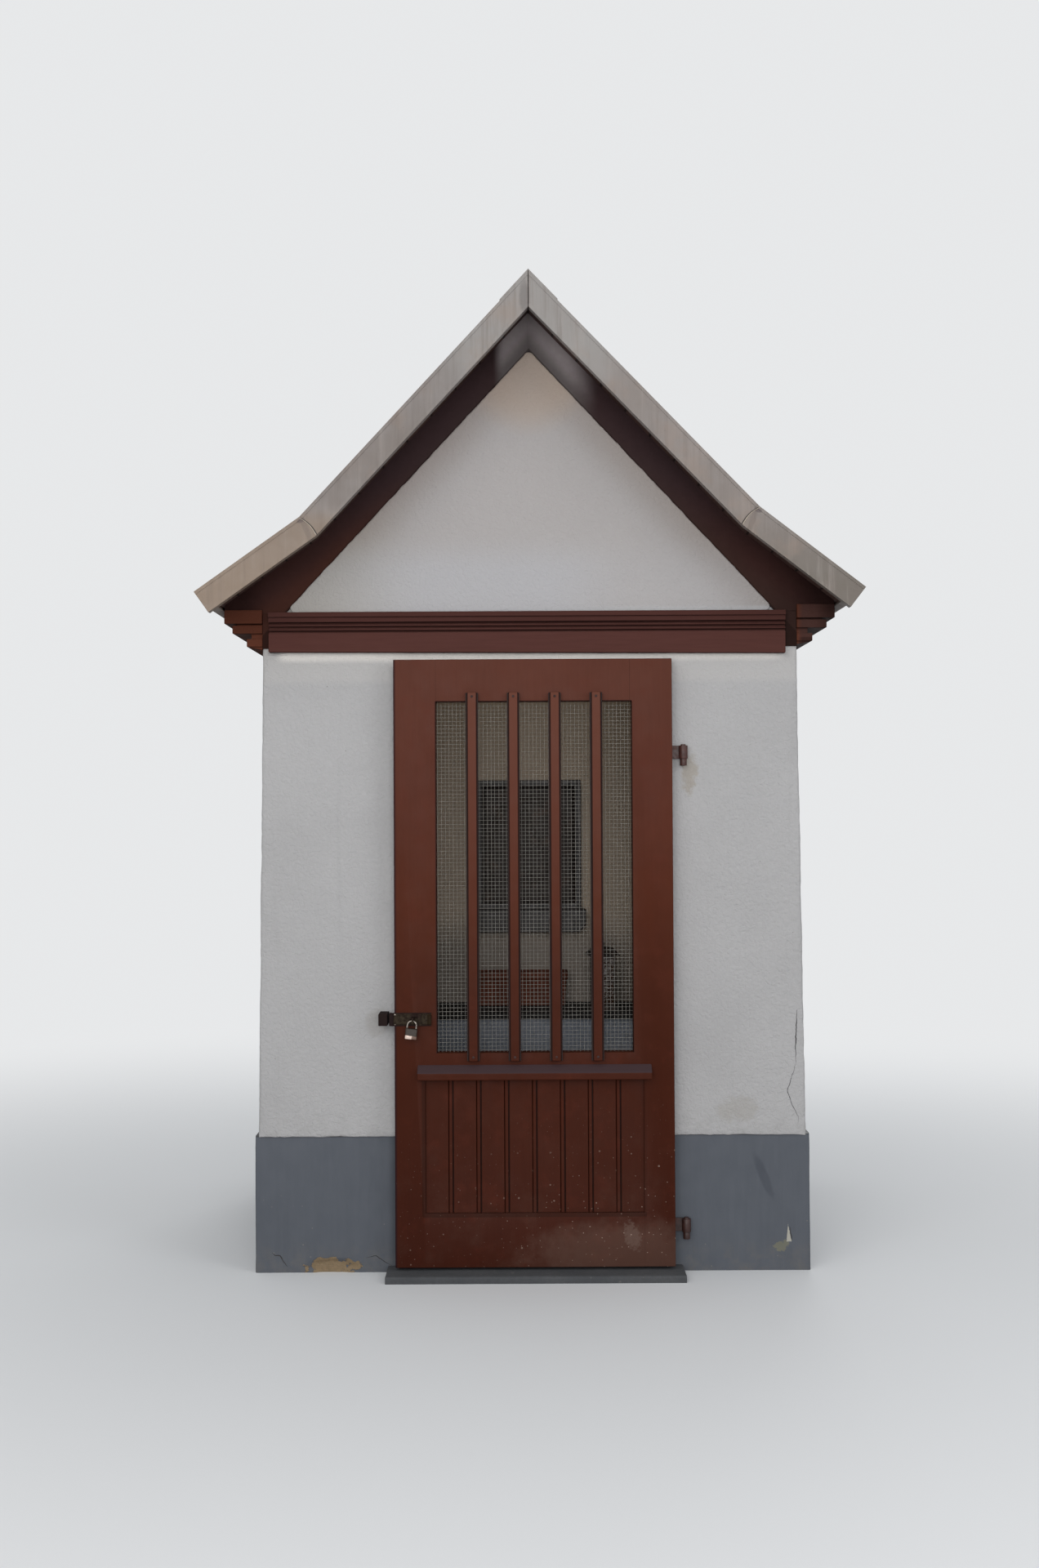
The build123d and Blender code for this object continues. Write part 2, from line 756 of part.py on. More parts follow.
def window_bars():
    foot_z = window_foot_z - window_bar_foot_lap
    top_z = window_top_z + window_bar_top_lap
    bars = []
    for index in range(window_bar_count):
        middle = doorway_offset + window_bar_shift + window_bar_pitch * (index - (window_bar_count - 1) / 2)
        low = (middle - window_bar_width / 2, door_front_y - window_bar_thickness, foot_z)
        bars.append(box(low, (middle + window_bar_width / 2, door_front_y, top_z)))
    return bars


def wire_mesh():
    y = door_front_y + mesh_setback
    return box((window_left_x, y, window_foot_z), (window_right_x, y + mesh_thickness, window_top_z))


hinge_x = door_right_x + hinge_axis_from_leaf
hinge_y = wall_front_y - hinge_wall_clearance - eye_radius
hinge_levels = (door_top_z - upper_hinge_from_top, door_bottom_z + lower_hinge_from_foot)


def hinge_straps():
    """Flat straps behind the leaf, each rolled into an eye at the hinge line."""
    straps = []
    for level in hinge_levels:
        low, high = level - strap_height / 2, level + strap_height / 2
        tail = box((door_right_x - strap_tail, door_back_y, low),
                   (hinge_x, door_back_y + strap_thickness, high))
        eye = Pos(hinge_x, hinge_y, level) * Cylinder(eye_radius, strap_height)
        bore = Pos(hinge_x, hinge_y, level) * Cylinder(pin_radius + pin_clearance, strap_height)
        straps.append(tail + eye - bore)
    return straps


def hinge_pintles():
    """Upright pins on short arms from the wall, which the eyes drop over."""
    pintles = []
    for level in hinge_levels:
        seat = level - strap_height / 2 - pintle_seat_gap
        foot = seat - pintle_collar_height
        top = level + strap_height / 2 + pintle_pin_stub
        pin = Pos(hinge_x, hinge_y, (foot + top) / 2) * Cylinder(pin_radius, top - foot)
        collar = Pos(hinge_x, hinge_y, (foot + seat) / 2) * Cylinder(pintle_collar_radius, seat - foot)
        arm = box((hinge_x - pin_radius, hinge_y, foot), (hinge_x + pin_radius, wall_front_y, seat))
        pintles.append(pin + collar + arm)
    return pintles


latch_z = door_bottom_z + latch_height
latch_plate_left = door_left_x - latch_overhang
latch_plate_right = latch_plate_left + latch_plate_length
staple_x = door_left_x + staple_from_edge
keeper_right_x = door_left_x - keeper_gap
plate_front_y = door_front_y - latch_plate_thickness
bar_back_y = plate_front_y - latch_bar_clearance
bar_front_y = bar_back_y - latch_bar_thickness
staple_tip_y = plate_front_y - staple_projection


def around_latch(x_low, x_high, y_low, y_high, half_height):
    """A box centred on the latch's height."""
    return box((x_low, y_low, latch_z - half_height), (x_high, y_high, latch_z + half_height))


def latch_plate():
    """Plate on the leaf with two guides for the bar and a staple for the padlock."""
    plate = around_latch(latch_plate_left, latch_plate_right, plate_front_y, door_front_y,
                         latch_plate_height / 2)
    bore_half = latch_bar_height / 2 + latch_bar_clearance
    bore_y = bar_front_y - latch_bar_clearance
    right_guide_x = latch_plate_right - grip_thickness - latch_throw - guide_inset - guide_width
    for x in (latch_plate_left, right_guide_x):
        plate += around_latch(x, x + guide_width, bore_y - guide_wall, plate_front_y, bore_half + guide_wall)
        plate -= around_latch(x, x + guide_width, bore_y, plate_front_y, bore_half)
    half = staple_width / 2
    plate += around_latch(staple_x - half, staple_x + half, staple_tip_y, plate_front_y, staple_height / 2)
    hole = Pos(staple_x, staple_tip_y + staple_hole_from_tip, latch_z) * Rot(0, 90, 0)
    return plate - hole * Cylinder(staple_hole_radius, 2 * staple_width)


def latch_bolt():
    """Flat bar that slides to the keeper, slotted around the staple."""
    half = latch_bar_height / 2
    nose = keeper_right_x + latch_nose_gap
    bar = around_latch(nose, latch_plate_right, bar_front_y, bar_back_y, half)
    slot_reach = staple_width / 2 + staple_slot_clearance
    bar -= around_latch(staple_x - slot_reach, staple_x + slot_reach + latch_throw, bar_front_y,
                        bar_back_y, staple_height / 2 + staple_slot_clearance)
    grip_left = latch_plate_right - grip_thickness
    return bar + around_latch(grip_left, latch_plate_right, bar_front_y - grip_projection, bar_front_y, half)


def latch_keeper():
    """Block on the wall, with a mouth for the bar's nose."""
    block = around_latch(keeper_right_x - keeper_width, keeper_right_x, bar_front_y - keeper_lip,
                         wall_front_y, keeper_height / 2)
    mouth_half = latch_bar_height / 2 + keeper_mouth_clearance
    return block - around_latch(keeper_right_x - latch_throw, keeper_right_x,
                                bar_front_y - keeper_mouth_clearance,
                                bar_back_y + keeper_mouth_clearance, mouth_half)


shackle_y = staple_tip_y + staple_hole_from_tip
shackle_top_z = latch_z - staple_hole_radius + shackle_wire_radius + shackle_rest_clearance
padlock_top_z = shackle_top_z - shackle_half_span - shackle_leg


def hung(shape):
    """Turns the padlock about the top of its shackle, as it hangs askew in the staple."""
    pivot = Pos(staple_x, shackle_y, shackle_top_z)
    return pivot * Rot(0, padlock_lean, 0) * pivot.inverse() * shape


def padlock_shackle():
    """Bent steel wire through the staple."""
    bend_z = shackle_top_z - shackle_half_span
    left, right = staple_x - shackle_half_span, staple_x + shackle_half_span
    left_leg = Line((left, shackle_y, padlock_top_z), (left, shackle_y, bend_z))
    bow = ThreePointArc(left_leg @ 1, (staple_x, shackle_y, shackle_top_z), (right, shackle_y, bend_z))
    right_leg = Line(bow @ 1, (right, shackle_y, padlock_top_z))
    section = Plane(origin=left_leg @ 0, z_dir=left_leg % 0) * Circle(shackle_wire_radius)
    return hung(sweep(section, path=left_leg + bow + right_leg))


def padlock_body():
    low = (staple_x - padlock_width / 2, shackle_y - padlock_thickness / 2, padlock_top_z - padlock_height)
    high = (staple_x + padlock_width / 2, shackle_y + padlock_thickness / 2, padlock_top_z)
    body = box(low, high)
    return hung(fillet(body.edges().filter_by(Axis.Z), padlock_round))


planter_box, planter_soil = planter_parts()
lantern_frame, lantern_glass, lantern_roof = lantern_parts()
roof_sheet_right, roof_sheet_left = roof_sheets()
wall_right, wall_left = both_sides(wall_section, -wall_inner_y, wall_inner_y)

pieces = {
    "floor_slab": floor_slab(),
    "threshold": threshold(),
    "plinth_front": plinth_front(),
    "plinth_sides": plinth_sides(),
    "plinth_back": plinth_back(),
    "wall_front": wall_front(),
    "wall_over_door": wall_over_door(),
    "wall_right": wall_right,
    "wall_left": wall_left,
    "wall_back": wall_back(),
    "gable_front": gable(wall_front_y, -wall_inner_y),
    "gable_back": gable(wall_inner_y, -wall_front_y),
    "rake_boards": on_both_gables(rake_boards, rake_board_thickness),
    "gable_render": on_both_gables(render_field, render_field_thickness),
    "cornice_front": cornice(-1),
    "cornice_back": cornice(1),
    "corner_boards": on_both_gables(corner_boards, corner_board_thickness),
    "eave_cornices": eave_cornices(),
    "ridge_beam": ridge_beam(),
    "purlins": purlins(),
    "roof_boards": roof_boards(),
    "roof_sheet_right": roof_sheet_right,
    "roof_sheet_left": roof_sheet_left,
    "ridge_cap": ridge_cap(),
    "verge_front": verge(-verge_y, -verge_y + verge_board_thickness),
    "verge_back": verge(verge_y - verge_board_thickness, verge_y),
    "eave_boards": eave_boards(),
    "altar_block": altar_block(),
    "altar_slab": altar_slab(),
    "relief_frame": relief_frame(),
    "relief_panel": relief_panel(),
    "relief_console": relief_console(),
    "planter_box": planter_box,
    "planter_soil": planter_soil,
    "lantern_frame": lantern_frame,
    "lantern_glass": lantern_glass,
    "lantern_roof": lantern_roof,
    "door_stiles": door_stiles(),
    "door_rails": door_rails(),
    "door_panel": door_panel(),
    "door_drip_rail": door_drip_rail(),
    "window_bars": window_bars(),
    "wire_mesh": wire_mesh(),
    "hinge_straps": hinge_straps(),
    "hinge_pintles": hinge_pintles(),
    "latch_plate": latch_plate(),
    "latch_bolt": latch_bolt(),
    "latch_keeper": latch_keeper(),
    "padlock_shackle": padlock_shackle(),
    "padlock_body": padlock_body(),
}

for name, solids in pieces.items():
    save(name, solids)
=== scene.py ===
"""Looks for the wayside shrine: render, paint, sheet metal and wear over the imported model."""
import bpy
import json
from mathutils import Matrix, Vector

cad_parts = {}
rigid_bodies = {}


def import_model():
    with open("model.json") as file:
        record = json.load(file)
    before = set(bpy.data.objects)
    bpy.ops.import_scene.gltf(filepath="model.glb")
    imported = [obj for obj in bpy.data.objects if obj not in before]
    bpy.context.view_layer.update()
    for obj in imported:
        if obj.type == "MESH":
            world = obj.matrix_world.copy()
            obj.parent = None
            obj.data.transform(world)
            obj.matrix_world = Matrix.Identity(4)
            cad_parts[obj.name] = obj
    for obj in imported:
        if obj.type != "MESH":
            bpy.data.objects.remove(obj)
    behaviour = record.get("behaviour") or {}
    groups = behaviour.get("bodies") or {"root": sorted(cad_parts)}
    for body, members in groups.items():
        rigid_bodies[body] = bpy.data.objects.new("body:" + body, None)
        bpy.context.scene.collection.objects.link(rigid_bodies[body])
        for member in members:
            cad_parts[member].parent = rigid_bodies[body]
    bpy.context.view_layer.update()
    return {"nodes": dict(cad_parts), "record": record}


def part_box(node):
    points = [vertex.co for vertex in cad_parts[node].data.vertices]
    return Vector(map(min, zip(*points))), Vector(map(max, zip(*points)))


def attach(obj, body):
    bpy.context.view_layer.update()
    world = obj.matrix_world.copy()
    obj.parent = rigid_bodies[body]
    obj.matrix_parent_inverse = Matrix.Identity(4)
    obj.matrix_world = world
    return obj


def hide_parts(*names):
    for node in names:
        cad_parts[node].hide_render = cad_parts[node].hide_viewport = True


for leftover in list(bpy.data.objects):
    bpy.data.objects.remove(leftover)
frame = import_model()

import bmesh
import json
import math
import random
from mathutils import Matrix, Vector, noise
from mathutils.bvhtree import BVHTree

random.seed(11)
scene = bpy.context.scene

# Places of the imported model, in metres
WALL_Y = -0.670
WALL_TOP = 2.118
PLINTH_TOP = 0.437
GABLE_FOOT = 2.13
VERGE_Y = 0.920
RIDGE_Z = 3.145
KNEE_X, EAVE_X = 0.708, 1.033
# The roof sits a little unevenly: heights for the left (-1) and the right (1) side
KNEE_Z = {-1: 2.386, 1: 2.411}
EAVE_Z = {-1: 2.157, 1: 2.161}
UPPER = {side: math.atan2(RIDGE_Z - KNEE_Z[side], KNEE_X) for side in (-1, 1)}
LOWER = {side: math.atan2(KNEE_Z[side] - EAVE_Z[side], EAVE_X - KNEE_X) for side in (-1, 1)}
RIDGE_COS = math.cos((UPPER[-1] + UPPER[1]) / 2)
# The pale field of render on each gable: its tip, its slope and how far right its middle lies
FIELD_TOP = RIDGE_Z - 0.125 / RIDGE_COS
FIELD_SLOPE = math.tan(UPPER[-1])
FIELD_SHIFT = 0.002
DOOR_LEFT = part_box("door_stiles")[0].x
DOOR_FOOT, DOOR_HEIGHT = 0.03, 1.94
RAIL_TOP, PANEL_TOP, TOP_RAIL_FOOT = 0.205, 0.627, 1.82
PANEL_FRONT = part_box("door_panel")[0].y
(WINDOW_LEFT, _, WINDOW_FOOT), (WINDOW_RIGHT, _, WINDOW_HEAD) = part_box("wire_mesh")
BAR_COUNT, BAR_PITCH, BAR_HALF = 4, 0.1315, 0.0165
FIRST_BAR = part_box("window_bars")[0].x + BAR_HALF
LATCH_LEFT, LATCH_RIGHT = (corner.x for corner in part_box("latch_plate"))
LATCH_FRONT, LATCH_Z = -0.735, 0.818
LOCK_LEAN = 8.0
# The walls' and plinth's outer faces lie further out than this
SKIN_X, SKIN_Y = 0.845, 0.655
CARVING_BACK, CARVING_DEPTH = 0.4135, 0.014


def srgb(red, green, blue):
    """A colour as read from the photograph, in the linear values that Blender mixes."""
    linear = []
    for channel in (red, green, blue):
        c = channel / 255
        linear.append(c / 12.92 if c <= 0.04045 else ((c + 0.055) / 1.055) ** 2.4)
    return (*linear, 1.0)


class Value:
    """What a node of a finish gives; each sign in a sum of values adds a Math node."""

    def __init__(self, finish, socket):
        self.finish, self.socket = finish, socket

    def __add__(self, other):
        return self.finish.maths("ADD", self, other)

    def __sub__(self, other):
        return self.finish.maths("SUBTRACT", self, other)

    def __rsub__(self, other):
        return self.finish.maths("SUBTRACT", other, self)

    def __mul__(self, other):
        return self.finish.maths("MULTIPLY", self, other)

    def __truediv__(self, other):
        return self.finish.maths("DIVIDE", self, other)

    def __abs__(self):
        return self.finish.maths("ABSOLUTE", self)


class Finish:
    """A procedural material: one Principled shader, with short calls for the nodes that feed it."""

    def __init__(self, name, roughness=0.7, **sockets):
        self.material = bpy.data.materials.new(name)
        self.material.use_nodes = True
        self.nodes = self.material.node_tree.nodes
        self.links = self.material.node_tree.links
        self.shader = self.nodes["Principled BSDF"]
        self.shader.inputs["Roughness"].default_value = roughness
        for socket, value in sockets.items():
            self.shader.inputs[socket.replace("_", " ").title().replace("Ior", "IOR")].default_value = value
        self.place = self.value("TexCoord", {}, "Object")
        self.x, self.y, self.z = (Value(self, part) for part in
                                  self.node("SeparateXYZ", {0: self.place}).outputs)
        self.coat = self.normal = None

    def node(self, kind, inputs, **settings):
        made = self.nodes.new("ShaderNode" + kind)
        for key, value in settings.items():
            setattr(made, key, value)
        for key, value in inputs.items():
            self.put(made.inputs[key], value)
        return made

    def value(self, kind, inputs, output=0, **settings):
        """Adds a node and gives one of its outputs."""
        return Value(self, self.node(kind, inputs, **settings).outputs[output])

    def put(self, socket, value):
        if isinstance(value, Value):
            value = value.socket
        if isinstance(value, bpy.types.NodeSocket):
            self.links.new(value, socket)
        else:
            socket.default_value = value

    def maths(self, operation, *values):
        return self.value("Math", dict(enumerate(values)), operation=operation)

    def most(self, first, second):
        return self.maths("MAXIMUM", first, second)

    def stretched(self, stretch, shift):
        inputs = {"Vector": self.place, "Scale": stretch, "Location": (shift, shift * 0.7, shift * 1.3)}
        return self.value("Mapping", inputs)

    def noise(self, size, detail=4.0, rough=0.6, stretch=(1, 1, 1), shift=0.0, warp=0.0):
        """Noise from 0 to 1, with patches about that many metres across."""
        inputs = {"Vector": self.stretched(stretch, shift), "Scale": 1 / size, "Detail": detail,
                  "Roughness": rough, "Distortion": warp}
        return self.value("TexNoise", inputs, "Fac")

    def dots(self, size, radius, share, shift=0.0, flat=False):
        """Dots of their own sizes in a share of the cells; flat ones lie on the XZ plane."""
        place = self.stretched((1, 1, 1), shift)
        if flat:
            place = self.value("CombineXYZ", {0: self.x, 1: self.z, 2: shift})
        cells = self.node("TexVoronoi", {"Vector": place, "Scale": 1 / size},
                          voronoi_dimensions="2D" if flat else "3D").outputs
        chance = self.node("SeparateColor", {0: cells["Color"]}).outputs
        own_radius = self.maths("MULTIPLY", chance[1], radius / size)
        inside = self.maths("LESS_THAN", cells["Distance"], own_radius)
        return inside * self.maths("LESS_THAN", chance[0], share)

    def span(self, value, low, high, first=0.0, last=1.0):
        """A value taken from one range to another with soft ends."""
        inputs = {"Value": value, "From Min": low, "From Max": high, "To Min": first, "To Max": last}
        return self.value("MapRange", inputs, "Result", interpolation_type="SMOOTHSTEP")

    def fall(self, value, low, high):
        return self.span(value, low, high, 1.0, 0.0)

    def within(self, value, low, high, soft):
        """1 between two values, fading to 0 outside them."""
        return self.span(value, low - soft, low) * self.fall(value, high, high + soft)

    def spot(self, centre, radii, ragged=0.0, lean=0.0, grain=0.02):
        """A patch on the XZ plane, 1 at its middle, with an edge made ragged by noise."""
        up = self.z - centre[1]
        across = (self.x - centre[0] + up * lean) / radii[0]
        up = up / radii[1]
        reach = across * across + up * up
        if ragged:
            reach = reach + (self.noise(grain, 4, 0.65, shift=centre[0] * 9) - 0.5) * ragged
        return self.fall(reach, 0.25, 1.0)

    def facing_up(self):
        """How far the surface faces up, from -1 to 1."""
        return self.value("SeparateXYZ", {0: self.value("NewGeometry", {}, "Normal")}, 2)

    def mix(self, share, first, second, blend="MIX"):
        """Mixes two colours; one given by three numbers is as read from the photograph."""
        made = self.node("Mix", {0: share}, data_type="RGBA", blend_type=blend)
        for socket, colour in ((6, first), (7, second)):
            read = isinstance(colour, tuple) and len(colour) == 3
            self.put(made.inputs[socket], srgb(*colour) if read else colour)
        return Value(self, made.outputs[2])

    def scale(self, colour, factor):
        """A colour made lighter or darker by a factor, which may be a pattern."""
        grey = self.value("CombineXYZ", {0: factor, 1: factor, 2: factor})
        return self.mix(1.0, colour, grey, "MULTIPLY")

    def tint(self, share, tone):
        self.coat = self.mix(share, self.coat, tone)

    def shade(self, factor):
        self.coat = self.scale(self.coat, factor)

    def ramp(self, value, stops):
        """A colour for a value, from (value, colour) stops."""
        made = self.node("ValToRGB", {"Fac": value})
        elements = made.color_ramp.elements
        while len(elements) < len(stops):
            elements.new(0.5)
        for element, (position, colour) in zip(elements, stops):
            element.position = position
        for element, (position, colour) in zip(elements, stops):
            element.color = srgb(*colour)
        return Value(self, made.outputs["Color"])

    def bump(self, height, depth):
        """Relief of that depth in metres for a pattern from 0 to 1."""
        inputs = {"Height": height, "Distance": depth, "Strength": 1.0}
        if self.normal is not None:
            inputs["Normal"] = self.normal
        self.normal = self.value("Bump", inputs, "Normal")

    def done(self, roughness=None):
        for socket, value in (("Base Color", self.coat), ("Roughness", roughness), ("Normal", self.normal)):
            if value is not None:
                self.put(self.shader.inputs[socket], value)
        return self.material


def render_finish():
    f = Finish("render_coat", 0.92, specular_ior_level=0.2)
    f.coat = f.mix(f.span(f.noise(0.45), 0.3, 0.7), (175, 174, 174), (181, 180, 180))
    f.shade(f.span(f.noise(0.012, 3, shift=3), 0.2, 0.8, 0.972, 1.022))
    f.shade(f.span(f.z, 0.42, 2.1, 0.945, 1.0))
    streak = f.noise(0.05, stretch=(1, 1, 0.05), shift=5)
    f.shade(f.span(streak, 0.58, 0.8, 1.0, 0.955))
    front = f.span(f.y, -0.6, -0.62)
    # Stains beside the latch, under the upper hinge and above the plinth
    for centre, radii, ragged, grain, share, tone in (
            ((-0.495, 0.80), (0.045, 0.06), 1.6, 0.04, 0.22, (140, 132, 120)),
            ((0.512, 1.60), (0.030, 0.085), 2.6, 0.03, 0.4, (146, 132, 106)),
            ((0.66, 0.515), (0.08, 0.05), 2.6, 0.03, 0.3, (150, 144, 132))):
        f.tint(f.spot(centre, radii, ragged, grain=grain) * front * share, tone)
    low = f.fall(f.z, 0.43, 0.55)
    f.tint(low * f.span(f.noise(0.04, 4, 0.7, shift=8), 0.4, 0.8) * 0.35, (138, 136, 132))
    gable = f.span(f.z, GABLE_FOOT, GABLE_FOOT + 0.01)
    rim = FIELD_TOP - abs(f.x) * FIELD_SLOPE - f.z
    f.tint(gable * 0.8, (174, 169, 167))
    # Painted shade: the field grows darker and browner along its upper edge under the verge
    f.tint(f.fall(rim, -0.02, 0.19) * gable * 0.8, (160, 151, 145))
    # Painted light: a warm pale patch at the apex lightens the shade under the roof's overhang
    f.tint(f.spot((0.0, 2.93), (0.24, 0.26)) * 0.65, (181, 163, 147))
    warm_foot = f.fall(f.x, -0.75, -0.3) * f.within(f.z, 2.14, 2.35, 0.25)
    pale_foot = f.within(f.z, GABLE_FOOT, 2.24, 0.14) * f.span(f.x, 0.05, 0.35, 1.0, 0.3)
    f.tint(pale_foot * 0.9, (179, 178, 180))
    f.tint(warm_foot * 0.55, (168, 162, 150))
    # Clean render just under the cornice, painted light on the strip under the cornice and over the door
    # where the cornice's shadow falls, and the room's plaster
    f.tint(front * f.within(f.z, 1.91, 2.0, 0.03) * 0.7, (185, 183, 181))
    over_door = f.fall(abs(f.x), 0.42, 0.46) * f.span(f.z, 1.94, 1.95)
    high = f.most(f.span(f.z, 1.952, 1.98), over_door) * f.fall(abs(f.x), 0.78, 0.83)
    f.tint(front * high * f.fall(f.z, 2.0, 2.1), (224, 220, 214))
    f.tint(f.dots(0.06, 0.0022, 0.5) * 0.6, (105, 100, 95))
    inside = f.fall(abs(f.x), 0.66, 0.68) * f.fall(abs(f.y), 0.45, 0.47)
    plaster = f.mix(f.noise(0.3, shift=12), (190, 173, 154), (180, 163, 143))
    plaster = f.mix(f.span(f.z, 1.4, 2.1), plaster, (198, 180, 158))
    plaster = f.mix(f.fall(f.z, 0.92, 1.1) * f.span(f.x, 0.25, 0.45, 1.0, 0.6), plaster, (143, 133, 123))
    plaster = f.scale(plaster, f.span(f.x, 0.2, 0.4, 1.0, 0.86))
    f.tint(inside, plaster)
    worm = f.noise(0.011, 2, 0.5, shift=1, warp=0.6)
    lump = f.noise(0.028, 3, shift=2)
    relief = f.span(worm, 0.35, 0.65) * 0.6 + lump * 0.4
    rough_area = f.spot((0.8, 1.25), (0.3, 0.65), 0.5, grain=0.2)
    f.bump(relief * (1.0 - inside * 0.85), 0.0016)
    f.bump(f.noise(0.016, 3, shift=6) * rough_area, 0.003)
    f.bump(f.noise(0.003, 2), 0.0004)
    return f.done()


def plinth_finish():
    f = Finish("plinth_paint_coat", 0.62, specular_ior_level=0.25)
    f.coat = f.mix(f.noise(0.3), (81, 85, 92), (89, 93, 100))
    brush = f.noise(0.02, 3, stretch=(1, 1, 0.12), shift=4)
    f.shade(f.span(brush, 0.25, 0.75, 0.965, 1.035))
    # Painted shade on the front of the plinth beside the door's left edge
    by_door = f.span(f.x, DOOR_LEFT - 0.035, DOOR_LEFT) * f.fall(f.x, DOOR_LEFT, 0.0)
    front = f.fall(f.y, -0.6, -0.5)
    f.tint(by_door * front * 0.5, (58, 62, 67))
    # Painted shadow under the render's overhanging foot
    f.tint(f.span(f.z, PLINTH_TOP - 0.0045, PLINTH_TOP - 0.0025) * 0.7, (58, 57, 55))
    smudge = f.spot((0.742, 0.302), (0.02, 0.085), 0.6, lean=0.38)
    f.tint(smudge * front * 0.45, (58, 62, 70))
    dust = f.fall(f.z, 0.0, 0.13) * f.span(f.noise(0.05, 5, 0.7, shift=2), 0.35, 0.75)
    f.tint(dust * 0.5, (108, 104, 98))
    splash = f.dots(0.03, 0.0028, 0.45, shift=3)
    f.tint(splash * f.fall(f.z, 0.05, 0.35) * 0.6, (125, 122, 116))
    chip = f.span(f.spot((-0.645, 0.018), (0.105, 0.034), 2.6, grain=0.03), 0.3, 0.4) * front
    sand = f.mix(f.noise(0.012, 4, 0.7, shift=9), (152, 130, 100), (112, 98, 78))
    f.tint(chip, sand)
    mud = f.span(f.spot((0.798, 0.078), (0.03, 0.02), 3.0, grain=0.02), 0.2, 0.6)
    f.tint(mud * front * 0.65, (118, 116, 96))
    # A wedge at the right foot where the paint is gone
    down = (0.152 - f.z) / 0.06
    wedge = down * 0.0085 - abs(f.x - 0.819 - down * 0.0035)
    wobble = (f.noise(0.006, 3) - 0.5) * 0.004
    bare = f.span(wedge + wobble, 0.0, 0.001) * f.within(f.z, 0.092, 0.153, 0.002)
    f.tint(bare * front, (170, 167, 156))
    f.bump(f.noise(0.02, stretch=(1, 1, 0.5)), 0.0007)
    f.bump(f.noise(0.0035, 2), 0.0002)
    f.bump(chip * f.noise(0.008, 4, 0.75, shift=5), 0.004)
    return f.done(f.span(f.noise(0.06, 3, 0.55), 0.3, 0.7, 0.55, 0.72))


